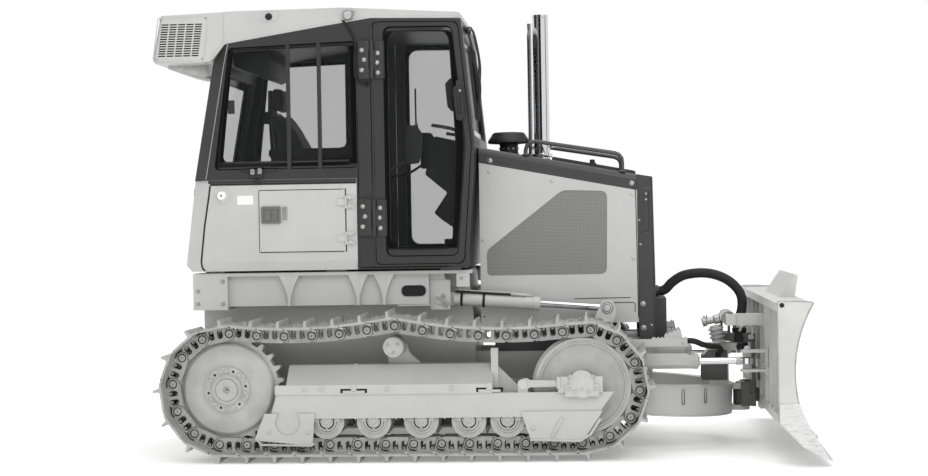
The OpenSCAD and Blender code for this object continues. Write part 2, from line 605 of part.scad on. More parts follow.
// Climate unit behind the roof: side slots in a grid
louvre = [-1516, -1250, roof_z - 281, roof_z - 70];     // box of the slots: x0, x1, z0, z1
louvre_n = [5, 14];
module climate_unit() piece(pale) difference() {
    side_plate([[bend_xs[2] - seat, eave_rear + 1], [bend_xs[2] - seat, roof_z - 9], [-1492, roof_z - 24],
        [rear_x, roof_z - 295], [-1530, eave_low - 8], [-1226, eave_low - 6], [-1190, eave_low + 2], [bend_xs[3] - 1, eave_low + 2]],
        -cab_hw + 14, cab_hw - 14);
    both_sides() {
        corner_cut(-1520, roof_z - 175, 11.7, 29);
        for (i = [0 : louvre_n[0] - 1], k = [0 : louvre_n[1] - 1])
            let (dx = (louvre[1] - louvre[0]) / louvre_n[0], dz = (louvre[3] - louvre[2]) / louvre_n[1])
            box([louvre[0] + i * dx + 4 + k * 2, -cab_hw, louvre[2] + k * dz],
                [louvre[0] + (i + 1) * dx - 4 + k * 2, -cab_hw + 40, louvre[2] + (k + 0.55) * dz]);
    }
}

pane_y = cab_hw - wall / 2;
module side_pane(points, y) side_plate(drawn_in(points, 2 * seat), -y - glass_t / 2, -y + glass_t / 2);
// A pane of the front or rear wall, which leans from its foot to its head
module end_pane(points, foot, head) intersection() {
    front_slab(min(foot[0], head[0]) - 20, max(foot[0], head[0]) + 20) polygon(drawn_in(points, 2 * seat));
    side_plate([foot - [glass_t / 2, 0], foot + [glass_t / 2, 0], head + [glass_t / 2, 0],
        head - [glass_t / 2, 0]], -cab_hw, cab_hw);
}
module cab_glass() piece(glass) {
    both_sides() {
        side_pane(side_window, pane_y - 6);
        end_pane(quarter_window, [front_xs[0] - wall / 2, cab_z0], [front_xs[1] - wall / 2, front_z]);
    }
    end_pane(windshield, [front_xs[1] - wall / 2, front_z], [front_xs[2] - wall / 2, eave_front]);
    end_pane(rear_window, [cab_foot_x + 28, deck_z], [bend_xs[3] + 28, eave_low]);
}

// ---------------------------------------------------------------- interior

// Rear faces of the back and the headrest, from the foot up
seat_back = [[-868, 1748], [-892, 2180], [-893, 2330]];
module seat_base() piece(black) {
    side_plate([[-868 - seat, 1590], [-868 - seat, seat_back[0][1]], seat_back[1] - [seat, 0], seat_back[2] - [seat, 0],
        seat_back[2] - [20, 0], seat_back[1] - [24, 0], seat_back[0] - [24, 0], [-892, 1560]], -110, 110);
    box([-892, -110, 1560], [-840, 110, 1600]);
    box([-840, -200, floor_z + seat], [-400, 200, floor_z + 60]);
    box([-800, -170, floor_z + 50], [-440, 170, 1560]);
    box([-860, -345, 1550], [-350, 345, 1600]);
    both_sides() {
        box([-860, -345, 1590], [-560, -268, 1900]);
        side_plate(rounded([[-874, 1880], [-404, 1880], [-404, 1938], [-874, 1938]], 20), -345, -268);
    }
}
module seat_cushions() piece(black) {
    side_plate(rounded([[-840, 1600 + seat], [-330, 1600 + seat], [-320, 1735], [-640, 1745], [-840, 1735]], 30),
        -255, 255);
    side_plate(rounded([seat_back[0], [-650, 1760], [-662, 1941], [-740, 2080], [-806, 2180],
        seat_back[1]], 25), -240, 240);
    side_plate(rounded([[-892, 2186], [-812, 2186], [-806, 2345], [-893, 2352]], 25), -130, 130);
}
module dash_console() piece(black) {
    side_plate(rounded_each([[184, 1999], [395, 1945], [366, floor_z + seat], [320, floor_z + seat],
        [320, 1400], [227, 1464], [176, 1511], [263, 1639], [121, 1759]], [15, 0, 0, 0, 0, 12, 12, 12, 12]),
        -230, 230);
    both_sides() box([230, -120, floor_z + seat], [330, -60, 1340]);
}

// ------------------------------------------------------------------- doors

door_hinge = [door_x0 - 10, cab_hw + 16];   // axis of the cab doors: x, distance from the middle
door_leaves = [[roof_z - 449, roof_z - 214], [1370, 1597]];
door_knuckle_r = 14;
door_gap = 60;                              // height of the fixed knuckle at each end of a leaf
service_hinge = [service_x[1] - 2, cab_hw + 9];
service_leaves = [[1320, 1400], [1545, 1625]];
service_knuckle_r = 7;
service_gap = 20;
// Fixed half of a hinge: a block on the wall from x to the axis, with a knuckle,
// above and below the door's own, which lies between z0 + gap and z1 - gap
module hinge_side(axis, x, r, z0, z1, gap)
    for (z = [[z0, z0 + gap - seat], [z1 - gap + seat, z1]]) {
        upright(axis[0], -axis[1], z[0], z[1], r);
        box([min(x, axis[0]), -axis[1] - r / 2, z[0]], [max(x, axis[0]), -cab_hw + 1, z[1]]);
    }

module door() {
    side_slab(-cab_hw, wall - cab_hw) difference() {
        polygon(door_outline);
        polygon(door_window);
    }
    for (z = door_leaves) {
        box([door_x0 + 10, -cab_hw - 12, z[0]], [door_x0 + 70, -cab_hw + 1, z[1]]);
        box([door_hinge[0], -door_hinge[1] - 6, z[0] + door_gap], [door_x0 + 20, -cab_hw - 4, z[1] - door_gap]);
        upright(door_hinge[0], -door_hinge[1], z[0] + door_gap, z[1] - door_gap, door_knuckle_r);
    }
    // handle plate
    side_plate(rounded([[364, 2090], [410, 2090], [398, 2330], [364, 2330]], 16), -cab_hw - 14, -cab_hw + 1);
}
module door_glass() side_pane(door_window, pane_y);
module right_door() piece(dark) on_side(RIGHT) door();
module left_door() piece(dark) on_side(LEFT) door();
module right_door_glass() piece(glass) on_side(RIGHT) door_glass();
module left_door_glass() piece(glass) on_side(LEFT) door_glass();

module service_door() {
    box([service_x[0] + clear, -cab_hw - 2, service_z[0] + clear],
        [service_x[1] - 10, -cab_hw - 2 + service_t, service_z[1] - clear]);
    for (leaf = service_leaves) {
        z0 = leaf[0] + service_gap;
        z1 = leaf[1] - service_gap;
        upright(service_hinge[0], -service_hinge[1], z0, z1, service_knuckle_r);
        box([service_x[1] - 60, -service_hinge[1] - 1, z0], [service_hinge[0], -service_hinge[1] + 3, z1]);
        box([service_x[1] - 60, -service_hinge[1] + 2, z0], [service_x[1] - 30, -cab_hw, z1]);
    }
    box([-872, -cab_hw - 8, 1470], [-740, -cab_hw, 1566]);
}
module right_service_door() piece(pale) on_side(RIGHT) service_door();
module left_service_door() piece(pale) on_side(LEFT) service_door();

// -------------------------------------------------------------------- hood

hood_rear_z = 1922;
hood_front_z = 1732;
band = 100;                                 // depth of the hood's dark side bands
hood_slope = (hood_rear_z - hood_front_z) / (guard_x0 - hood_x0);
function hood_z(x) = hood_rear_z - (x - hood_x0) * hood_slope;
engine_top = 1500;
stack_x = 870;
precleaner_x = 653;
screen = rounded_each([[523, 1106], [519, 1264], [1005, 1640], [1287, 1630], [1278, 1106]],
                      [25, 60, 90, 40, 40]);

raised = [940, guard_x0 - 5, 300, 20];       // panel on the hood's top: x0, x1, half its width, height
module hood_top() piece(dark) difference() {
    union() {
        intersection() {
            side_plate([[hood_x0, hood_z(hood_x0) - band], [hood_x0, hood_z(hood_x0)],
                [guard_x0 - seat, hood_z(guard_x0)], [guard_x0 - seat, hood_z(guard_x0) - band]],
                -hood_hw, hood_hw);
            translate([hood_x0 - 10, 0, hood_rear_z + 2]) rotate([0, atan(hood_slope), 0])
                rotate([90, 0, 90]) linear_extrude(1200) polygon(rounded_each([[-hood_hw, -300],
                [hood_hw, -300], [hood_hw, 0], [-hood_hw, 0]], [0, 0, 35, 35]));
        }
        side_plate([[raised[0], hood_z(raised[0]) - 4], [raised[0], hood_z(raised[0]) + raised[3]],
            [raised[1], hood_z(raised[1]) + raised[3]], [raised[1], hood_z(raised[1]) - 4]],
            -raised[2], raised[2]);
    }
    side_plate([[hood_x0 + sheet, hood_z(hood_x0) - band - 10], [hood_x0 + sheet, hood_z(hood_x0) - sheet],
        [guard_x0 + 10, hood_z(guard_x0 + 10) - sheet], [guard_x0 + 10, hood_z(guard_x0) - band - 10]],
        sheet - hood_hw, hood_hw - sheet);
    upright(stack_x, 0, 1600, 2000, stack_r + 6, round_fn);
    upright(stack_x - 75, 80, 1600, 2000, 22);
    upright(precleaner_x, 0, 1600, 2000, 68, round_fn);
}
module hood_sides() piece(pale) both_sides() side_slab(-hood_hw, sheet - hood_hw) difference() {
    polygon([[hood_x0, 800], [hood_x0, hood_z(hood_x0) - band - seat],
        [guard_x0 - seat, hood_z(guard_x0) - band - seat], [guard_x0 - seat, 800]]);
    polygon(screen);
}
module side_screens() piece(steel) both_sides()
    side_plate(drawn_in(screen, 2 * seat), 4 - hood_hw, 7 - hood_hw);

guard_wall = 18;
module radiator_guard() piece(dark) {
    difference() {
        side_plate([[guard_x0, guard_z0], [guard_x0, hood_z(guard_x0)], [guard_x1 - 8, hood_z(guard_x0) - 16],
            [guard_x1 + 4, guard_z0]], -hood_hw, hood_hw);
        box([guard_x0 - 1, guard_wall - hood_hw, guard_z0 + guard_wall],
            [guard_x1 - guard_wall - 8, hood_hw - guard_wall, hood_z(guard_x0) - 34]);
        // front opening behind cross bars
        for (k = [0 : 9]) box([guard_x1 - 60, -330, 1000 + k * 62], [guard_x1 + 20, 330, 1000 + k * 62 + 44]);
        both_sides() box([guard_x0 + 20, -hood_hw - 1, 1360], [guard_x1 - 30, 6 - hood_hw, 1610]);
    }
    // core
    box([guard_x0 + 20, guard_wall - hood_hw - 1, guard_z0 + 10], [guard_x0 + 55, hood_hw - guard_wall + 1,
        hood_z(guard_x0) - 30]);
    // cover of the hydraulic fittings on the front, and the upper hose's fitting
    box([guard_x1 - 12, -300, guard_z0 - 10], [1652, 300, 945]);
    bar_x(0, hose_start[2], guard_x1 - 12, hose_start[0], hose_r + 7);
}
module engine_block() piece(dark) {
    box([560, -300, engine_rail_z[1] + seat], [1370, 300, 760]);
    box([560, -210, 750], [1370, 210, engine_top]);
}
module exhaust_stack() piece(chrome) {
    difference() {
        upright(stack_x, 0, engine_top + seat, stack_top_z, stack_r, round_fn);
        upright(stack_x, 0, engine_top + 60, stack_top_z + 1, stack_r - 5, round_fn);
    }
    upright(stack_x - 75, 80, engine_top + seat, stack_top_z - 45, 16);
}
module air_precleaner() piece(black)
    translate([precleaner_x, 0, 0]) rotate_extrude($fn = 64) polygon([[0, engine_top + seat],
        [62, engine_top + seat], [62, 1962], [137, 1962], [112, 2010], [96, 2026], [0, 2030]]);

rail_tube_r = 13;
rail_foot = 2.2;                            // keeps the cut ends just off the sloping hood
rail_hy = hood_hw - 30;
rail_route = [for (p = [[776, hood_z(776) + rail_foot], [778, 1900], [786, 1926], [804, 1945], [836, 1952],
    [1340, 1869], [1366, 1857], [1382, 1836], [1385, 1808], [1385, hood_z(1385) + rail_foot]]) [p[0], -rail_hy, p[1]]];
module hood_rails() piece(dark) both_sides() tube(rail_route, rail_tube_r, 12);

// -------------------------------------------------------------- push frame

nose_r = arm_y1;                            // outer radius of the nose
nose_inner_r = 438;
nose_x = nose_reach - nose_r;               // centre of the nose's arc, from the pin
kingpin_r = 28;
lower_lug = [[205, 238], [342, 375]];       // heights of the nose's two lugs
tower_z = [590, 640];                       // upper lug on the tower
kingpin_top = 735;
lever_plates = [[lift_y - 38, lift_y - 26], [lift_y + 26, lift_y + 36]];
angle_lug = [29, 49];                       // angle cylinder's lugs above and below its middle
angle_ball_r = 30;
cover_x = [1525, 1770];
cover_arm_x = 1230;                         // the cover's arm runs back to the lever plate
cover_w = 90;
hose_block_z = 684;
cover_tops = [650, 665, 700, 716];          // underside, top of the shelf, foot and tips of the teeth

module push_frame() piece(pale) {
    difference() {
        translate([trunnion_x, 0, trunnion_z]) rotate([0, cframe_slope, 0]) {
            both_sides() side_plate(rounded_each([[-arm_hh, -arm_hh], [nose_x + 1, -arm_hh],
                [nose_x + 1, arm_hh], [-arm_hh, arm_hh]], [arm_hh - 10, 0, 0, arm_hh - 10], 8),
                -arm_y1, -arm_y0);
            translate([nose_x, 0, -arm_hh]) linear_extrude(2 * arm_hh) difference() {
                circle(r = nose_r, $fn = 96);
                circle(r = nose_inner_r, $fn = 96);
                translate([-nose_r - 1, -nose_r - 1]) square([nose_r + 1, 2 * nose_r + 2]);
            }
        }
        both_sides() bar_y(trunnion_x, trunnion_z, -arm_y1 - 1, -arm_y0 + 1, trunnion_r + fit);
        // room for the swivel's lower eye between the nose's lugs
        box([2072, -75, lower_lug[0][1]], [2200, 75, lower_lug[1][0]]);
    }
    for (z = lower_lug) {
        box([2030, -60, z[0]], [pivot_x, 60, z[1]]);
        upright(pivot_x, 0, z[0], z[1], 60, round_fn);
    }
    upright(pivot_x, 0, lower_lug[0][0], lower_lug[1][1] + 12, kingpin_r, round_fn);
    // tower, its upper lug and the pin on which the swivel's head turns
    side_plate([[1975, 300], [2054, 300], [2054, 600], [1920, 600], [1893, 560], [1893, 455]], -70, 70);
    box([1920, -50, tower_z[0]], [pivot_x, 50, tower_z[1]]);
    upright(pivot_x, 0, tower_z[0], tower_z[1], 50, round_fn);
    upright(pivot_x, 0, tower_z[0] + 1, kingpin_top, kingpin_r, round_fn);
    upright(pivot_x, 0, kingpin_top - 1, hose_end[2], 40, round_fn);
    both_sides() {
        // lever plates of the lift cylinder, joined at the foot
        for (e = lever_plates) side_plate(rounded_each([[1080, 380], [1262, 380], [1262, 650], [1335, 880],
            [1310, 948], [1245, 948], [1215, 880], [1090, 560]], [0, 0, 40, 40, 30, 30, 60, 60]), -e[1], -e[0]);
        box([1085, -lever_plates[1][0] - 1, 400], [1110, 1 - lever_plates[0][1], 520]);
        box([1240, -lever_plates[1][0] - 1, 400], [1262, 1 - lever_plates[0][1], 650]);
        bar_y(lift_eye_x, lift_eye_z, -lever_plates[1][1] - 5, 1 - lever_plates[1][1], 30);
        bar_y(lift_eye_x, lift_eye_z, -lever_plates[0][0] - 1, 10 - lever_plates[0][0], 30);
        // lugs and ball pin of the angle cylinder
        for (s = [-1, 1]) {
            z0 = s > 0 ? angle_z + angle_lug[0] : angle_z - angle_lug[1];
            box([1255, -angle_y - 30, z0], [angle_base_x, 30 - angle_y, z0 + 20]);
            upright(angle_base_x, -angle_y, z0, z0 + 20, 30, 32);
        }
        upright(angle_base_x, -angle_y, angle_z - angle_lug[1], angle_z + angle_lug[1] + 8, 18);
        translate([angle_base_x, -angle_y, angle_z]) sphere(r = angle_ball_r, $fn = 32);
        // toothed cover over the angle cylinder, on an arm from the lever plate, and the hose's block
        side_slab(-arm_y1, -arm_y1 + 12) polygon(concat([[cover_arm_x, cover_tops[0]],
            [cover_x[1], cover_tops[0]], [cover_x[1], cover_tops[2]]],
            [for (k = [0 : 8]) each [[cover_x[1] - 12 - k * 24, cover_tops[3]],
            [cover_x[1] - 24 - k * 24, cover_tops[2]]]], [[cover_arm_x, cover_tops[2]]]));
        box([cover_x[0], -arm_y1, cover_tops[0]], [cover_x[1], cover_w - arm_y1, cover_tops[1]]);
    }
    box([cover_x[1] - 60, 38 - arm_y1, cover_tops[1] - 1], [cover_x[1], 82 - arm_y1, hose_block_z + 20]);
}

// -------------------------------------------------------------- the blade's swivel

lower_eye_r = 46;
upper_eye = [645, 700];
swivel_plate = [pivot_x + 70, pivot_x + 96];
tilt_pin_r = 45;
tilt_pin_in = 46;                           // how far the tilt pin reaches into the blade
tilt_small_pin_r = 15;
tilt_eye_hw = 12;
tilt_ears = [[-30, -18], [18, 30]];         // ears of the tilt cylinder, about its middle

module blade_swivel() piece(pale) {
    difference() {
        union() {
            upright(pivot_x, 0, lower_lug[0][1] + clear, lower_lug[1][0] - clear, lower_eye_r, round_fn);
            box([pivot_x, -lower_eye_r, lower_lug[0][1] + clear], [swivel_plate[1], lower_eye_r,
                lower_lug[1][0] - clear]);
            box([swivel_plate[0], -80, 230], [swivel_plate[1], 80, upper_eye[1]]);
            upright(pivot_x, 0, upper_eye[0], upper_eye[1], 50, round_fn);
            box([pivot_x, -50, upper_eye[0]], [swivel_plate[1], 50, upper_eye[1]]);
            // cross arm that carries the tilt cylinder
            box([tilt_x - 30, -40, upper_eye[0] + 5], [pivot_x, 40, upper_eye[1]]);
            box([tilt_x - 30, -40, upper_eye[0] + 5], [tilt_x + 30, tilt_base_y + 55, upper_eye[1]]);
        }
        upright(pivot_x, 0, 200, 800, kingpin_r + fit, round_fn);
    }
    for (e = tilt_ears) front_slab(tilt_x + e[0], tilt_x + e[1]) polygon(rounded_each([[tilt_base_y - 45, 690],
        [tilt_base_y + 45, 690], [tilt_base_y + 32, tilt_z + 32], [tilt_base_y - 32, tilt_z + 32]],
        [0, 0, 28, 28]));
    bar_x(tilt_base_y, tilt_z, tilt_x - 34, tilt_x + 34, tilt_small_pin_r, 32);
    // pin on which the blade tilts
    bar_x(0, pivot_z, swivel_plate[1] - 1, blade_x0 + tilt_pin_in, tilt_pin_r);
}

// ------------------------------------------------------------------- blade

board_r = 805;                              // radius of the mouldboard's face
board_c = [blade_x0 + 900, 543];            // middle of its arc
board_z = [215, 950];
blade_hw = blade_w / 2;
end_t = 20;
function board_x(z) = board_c[0] - sqrt(board_r * board_r - (z - board_c[1]) * (z - board_c[1]));
end_plate = concat([[blade_x0, 255], [blade_x0 + 137, 119], [front_x - 27, blade_tip_z], [front_x, blade_tip_z]],
    [for (i = [0 : 8]) let (z = board_z[0] + (board_z[1] - board_z[0]) * i / 8) [board_x(z) + 6, z]],
    [[blade_x0 + 206, 958], [blade_x0, 962]]);
frame_x1 = blade_x0 + 250;                  // past the mouldboard, which trims the frame
rib_ys = [150, 445, 540, 800, 1060];
blade_lug = [52, 68];                       // angle cylinder's lugs above and below its middle
spill_hw = 510;
lifting_hole_r = 14;

module mouldboard_shape() intersection() {
    difference() {
        translate(board_c) circle(r = board_r + blade_t, $fn = 256);
        translate(board_c) circle(r = board_r, $fn = 256);
    }
    polygon(box2([blade_x0, board_z[0]], [frame_x1, board_z[1]]));
}
// Frame between the rear face and the mouldboard, from z0 to z1
module frame_shape(z0, z1) difference() {
    polygon(box2([blade_x0, z0], [frame_x1, z1]));
    translate(board_c) circle(r = board_r + blade_t / 2, $fn = 256);
}
module blade() piece(steel) difference() {
    union() {
        side_slab(-blade_hw + 1, blade_hw - 1) mouldboard_shape();
        side_slab(-blade_hw + 1, blade_hw - 1) frame_shape(250, 300);
        side_slab(-blade_hw + 1, blade_hw - 1) frame_shape(900, 949);
        side_slab(-600, 600) frame_shape(470, 520);
        both_sides() {
            difference() {
                side_plate(end_plate, -blade_hw, end_t - blade_hw);
                bar_y(blade_x0 + 28, 938, -blade_hw - 1, end_t - blade_hw + 1, lifting_hole_r, 24);
            }
            for (y = rib_ys) side_slab(-y - 8, 8 - y) frame_shape(250, 949);
            // lugs of the angle cylinder
            for (s = [-1, 1]) {
                z0 = s > 0 ? angle_z + blade_lug[0] : angle_z - blade_lug[1];
                z1 = z0 + blade_lug[1] - blade_lug[0];
                box([angle_eye_x, -angle_y - 45, z0], [blade_x0 + 10, 45 - angle_y, z1]);
                upright(angle_eye_x, -angle_y, z0, z1, 45, 32);
                upright(angle_eye_x, -angle_y, s > 0 ? z1 - 1 : z0 - 10, s > 0 ? z1 + 10 : z0 + 1, 22);
            }
            // plate behind the lugs
            box([blade_x0 - 1, -560, 470], [blade_x0 + 14, -425, 640]);
        }
        // hub of the tilt pin, closed in front
        box([blade_x0, -90, 215], [blade_x0 + 68, 90, 385]);
        // spill guard with its end gussets
        translate([blade_x0, 0, 0]) {
            side_plate([[96, 949], [112, 940], [208, 1080], [194, 1090]],
                -spill_hw, spill_hw);
            both_sides() side_plate([[100, 945], [194, 1090], [208, 1082], [188, 945]],
                -spill_hw, blade_t - spill_hw);
        }
        // bracket of the tilt cylinder's rod
        box([tilt_x + 18, tilt_eye_y - 36, tilt_z - 36], [board_x(tilt_z - 36) - 5, tilt_eye_y + 36, tilt_z + 36]);
        box([tilt_x - 30, tilt_eye_y - 50, tilt_z - 36], [tilt_x + 30, tilt_eye_y - 38, tilt_z + 36]);
        box([tilt_x - 30, tilt_eye_y - 50, tilt_z - 36], [tilt_x - 18, tilt_eye_y + 36, tilt_z + 36]);
        box([tilt_x + 18, tilt_eye_y - 50, tilt_z - 36], [tilt_x + 30, tilt_eye_y + 36, tilt_z + 36]);
    }
    bar_x(0, pivot_z, blade_x0 - 1, blade_x0 + tilt_pin_in + 4, tilt_pin_r + fit);
}
module cutting_edge() piece(steel)
    side_plate([[blade_x0 + 148, board_z[0] - 1], [blade_x0 + 182, board_z[0] - 1], [front_x, blade_tip_z],
        [front_x - 27, blade_tip_z]],
        end_t + seat - blade_hw, blade_hw - end_t - seat);

// --------------------------------------------------------------- cylinders

// A cylinder's barrel along X from its pin at the origin, which lies across it:
// its eye and neck stand between the ears, its round part starts at neck
module barrel(length, r, eye_r, eye_hw, neck, pin_r, rod_r, blind) difference() {
    union() {
        rotate([90, 0, 0]) translate([0, 0, -eye_hw]) cylinder(h = 2 * eye_hw, r = eye_r, $fn = round_fn);
        box([0, -eye_hw, -r], [neck + 1, eye_hw, r]);
        bar_x(0, 0, neck, length, r);
        bar_x(0, 0, length - 36, length - 8, r + 4);
        bar_x(0, r + 12, neck + 10, length - 60, 8, 24);
        for (x = [neck + 24, length - 80]) box([x, -12, r - 8], [x + 20, 12, r + 23]);
    }
    rotate([90, 0, 0]) translate([0, 0, -eye_hw - 1]) cylinder(h = 2 * eye_hw + 2, r = pin_r, $fn = round_fn);
    bar_x(0, 0, blind, length + 1, rod_r + seat);
}
// Its rod, from the eye's middle at the origin back towards the barrel
module rod(length, r, eye_r, eye_hw, pin_r) difference() {
    union() {
        rotate([90, 0, 0]) translate([0, 0, -eye_hw]) cylinder(h = 2 * eye_hw, r = eye_r, $fn = round_fn);
        bar_x(0, 0, -length, -eye_r + 6, r);
    }
    rotate([90, 0, 0]) translate([0, 0, -eye_hw - 1]) cylinder(h = 2 * eye_hw + 2, r = pin_r, $fn = round_fn);
}

lift_angle = atan2(lift_eye_z - lift_base_z, lift_eye_x - lift_base_x);
lift_rod_len = 641;
lift_rod_r = 22;
module right_lift_barrel() piece(pale) on_side(RIGHT) lift_barrel();
module left_lift_barrel() piece(pale) on_side(LEFT) lift_barrel();
module lift_barrel() translate([lift_base_x, -lift_y, lift_base_z]) rotate([0, -lift_angle, 0])
    barrel(622, 40, 48, 17, 82, lift_pin_r + fit, lift_rod_r, 140);
module right_lift_rod() piece(chrome) on_side(RIGHT) lift_rod();
module left_lift_rod() piece(chrome) on_side(LEFT) lift_rod();
module lift_rod() translate([lift_eye_x, -lift_y, lift_eye_z]) rotate([0, -lift_angle, 0])
    rod(lift_rod_len, lift_rod_r, 38, 14, 22);

angle_rod_r = 21;
angle_barrel_r = 46;
module right_angle_barrel() piece(pale) on_side(RIGHT) angle_barrel();
module left_angle_barrel() piece(pale) on_side(LEFT) angle_barrel();
module angle_barrel() translate([angle_base_x, -angle_y, angle_z]) difference() {
    union() {
        translate([0, 0, -22]) cylinder(h = 44, r = 46, $fn = round_fn);
        bar_x(0, 0, 42, 505, angle_barrel_r);
        bar_x(0, 0, 480, 512, angle_barrel_r - 8);
    }
    translate([0, 0, -23]) cylinder(h = 46, r = angle_ball_r + fit, $fn = round_fn);
    bar_x(0, 0, 55, 513, angle_rod_r + seat);
}
module right_angle_rod() piece(chrome) on_side(RIGHT) angle_rod();
module left_angle_rod() piece(chrome) on_side(LEFT) angle_rod();
module angle_rod() translate([angle_eye_x, -angle_y, angle_z]) rotate([90, 0, 0]) rod(549, angle_rod_r, 40, 18, 24);

tilt_len = 330;
tilt_neck = 58;
tilt_rod_r = 15;
// Its own X points from the swivel's pin to the right
module along_tilt() rotate([0, 0, -90]) rotate([90, 0, 0]) children();
module tilt_barrel() piece(chrome) translate([tilt_x, tilt_base_y, tilt_z]) along_tilt() difference() {
    union() {
        translate([0, 0, -tilt_eye_hw]) cylinder(h = 2 * tilt_eye_hw, r = 32, $fn = round_fn);
        box([0, -28, -tilt_eye_hw], [tilt_neck + 1, 28, tilt_eye_hw]);
        bar_x(0, 0, tilt_neck, tilt_len, 42);
    }
    translate([0, 0, -60]) cylinder(h = 120, r = tilt_small_pin_r + fit, $fn = round_fn);
    bar_x(0, 0, 90, tilt_len + 1, tilt_rod_r + seat);
}
module tilt_rod() piece(chrome) translate([tilt_x, tilt_eye_y, tilt_z]) along_tilt()
    rotate([-90, 0, 0]) rod(270, tilt_rod_r, 28, tilt_eye_hw, 14);

// ------------------------------------------------------------------- hoses

hose_r = 31;
hose_start = [1612, 0, 980];
hose_end = [pivot_x, 0, 763];
upper_route = [hose_start, [1634, 0, 980], [1662, 0, 994], [1704, 0, 1036], [1775, 0, 1078], [1878, 0, 1093],
               [1974, 0, 1082], [2060, 0, 1044], [2124, 0, 984], [2150, 0, 920], [2146, 0, 845],
               [2130, 0, 795], hose_end];
lower_hose_r = 18;
lower_route = [[cover_x[1] + seat, 60 - arm_y1, hose_block_z], [1794, 60 - arm_y1, hose_block_z],
               [1828, -466, 676], [1872, -436, 656], [1925, -360, 640],
               [1975, -260, 628], [1998, -170, 604], [1990, -112, 576], [1985, -86, 566],
               [1985, -70 - seat, 566]];

function ring_axes(t) = let (s = abs(t[1]) > 0.9 ? [1, 0, 0] : [0, 1, 0], u = unit(cross(t, s))) [u, cross(t, u)];
// A closed tube of n sides along a route
module tube(route, r, n = 16) {
    m = len(route);
    dirs = [for (i = [0 : m - 1]) unit(route[min(i + 1, m - 1)] - route[max(i - 1, 0)])];
    points = [for (i = [0 : m - 1]) let (a = ring_axes(dirs[i])) for (k = [0 : n - 1])
        route[i] + r * (a[0] * cos(k * 360 / n) + a[1] * sin(k * 360 / n))];
    sides = [for (i = [0 : m - 2], k = [0 : n - 1]) let (q = (k + 1) % n)
        [i * n + k, (i + 1) * n + k, (i + 1) * n + q, i * n + q]];
    polyhedron(points, concat([[for (k = [0 : n - 1]) k]], sides,
        [[for (k = [n - 1 : -1 : 0]) (m - 1) * n + k]]));
}
module upper_hose() piece(black) tube(upper_route, hose_r);
module lower_hose() piece(black) tube(lower_route, lower_hose_r, 12);

main_frame();
drawbar();
right_track_frame();
left_track_frame();
right_track();
left_track();
right_sprocket();
left_sprocket();
right_idler();
left_idler();
right_rollers();
left_rollers();
rear_body();
cab_frame();
cab_roof();
climate_unit();
cab_glass();
seat_base();
seat_cushions();
dash_console();
right_door();
left_door();
right_door_glass();
left_door_glass();
right_service_door();
left_service_door();
hood_top();
hood_sides();
side_screens();
radiator_guard();
engine_block();
exhaust_stack();
air_precleaner();
hood_rails();
push_frame();
blade_swivel();
blade();
cutting_edge();
right_lift_barrel();
left_lift_barrel();
right_lift_rod();
left_lift_rod();
right_angle_barrel();
left_angle_barrel();
right_angle_rod();
left_angle_rod();
tilt_barrel();
tilt_rod();
upper_hose();
lower_hose();
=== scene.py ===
import math

import bpy
from mathutils import Matrix, Vector


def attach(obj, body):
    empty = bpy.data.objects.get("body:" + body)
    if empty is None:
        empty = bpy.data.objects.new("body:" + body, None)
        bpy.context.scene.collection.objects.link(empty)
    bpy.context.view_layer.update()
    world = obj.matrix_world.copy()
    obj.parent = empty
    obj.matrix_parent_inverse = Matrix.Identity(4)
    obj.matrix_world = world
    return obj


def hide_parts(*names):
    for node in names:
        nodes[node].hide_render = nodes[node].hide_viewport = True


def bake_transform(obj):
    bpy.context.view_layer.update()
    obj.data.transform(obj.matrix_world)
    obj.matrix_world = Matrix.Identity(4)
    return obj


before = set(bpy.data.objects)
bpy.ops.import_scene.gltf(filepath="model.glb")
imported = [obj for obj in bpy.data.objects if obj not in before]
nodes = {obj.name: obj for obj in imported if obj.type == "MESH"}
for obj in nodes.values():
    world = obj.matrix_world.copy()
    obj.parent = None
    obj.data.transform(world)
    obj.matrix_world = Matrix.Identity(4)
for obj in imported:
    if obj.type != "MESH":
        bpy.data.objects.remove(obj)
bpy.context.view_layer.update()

# ---------------------------------------------------------------- studio
# A pale floor under large soft lamps, and a long lens at the height of the
# cab's sill, four degrees off square to the right side. Sizes in this file are
# in millimetres, counted from the ground between the tracks, as at() reads them.
SETBACK = 507.5     # that point lies this far behind the middle of the machine's box


def at(x, y, z):
    """A place on the machine, given in millimetres, in the frame's metres."""
    return Vector(((x - SETBACK) / 1000, y / 1000, z / 1000))


def linear(text):
    """A colour written as sRGB hex, as the shaders take it."""
    channels = [int(text[i:i + 2], 16) / 255 for i in (0, 2, 4)]
    return [c / 12.92 if c <= 0.04045 else ((c + 0.055) / 1.055) ** 2.4 for c in channels] + [1.0]


def add_node(tree, kind, settings=(), links=()):
    """Adds a shader node. Settings name its sockets or its properties, links name its sockets."""
    node = tree.nodes.new("ShaderNode" + kind)
    for name, value in dict(settings).items():
        if name in node.inputs:
            node.inputs[name].default_value = value
        else:
            setattr(node, name, value)
    for name, source in dict(links).items():
        tree.links.new(source, node.inputs[name])
    return node


def start_material(name, slot, colour, **sockets):
    """A material, with the shader that the caller's own nodes then feed; its slot is not used."""
    material = bpy.data.materials.new(name)
    material.use_nodes = True
    tree = material.node_tree
    shader = tree.nodes["Principled BSDF"]
    shader.inputs["Base Color"].default_value = linear(colour)
    for socket, value in sockets.items():
        shader.inputs[socket.replace("_", " ")].default_value = value
    material.diffuse_color = linear(colour)
    return material, tree, shader


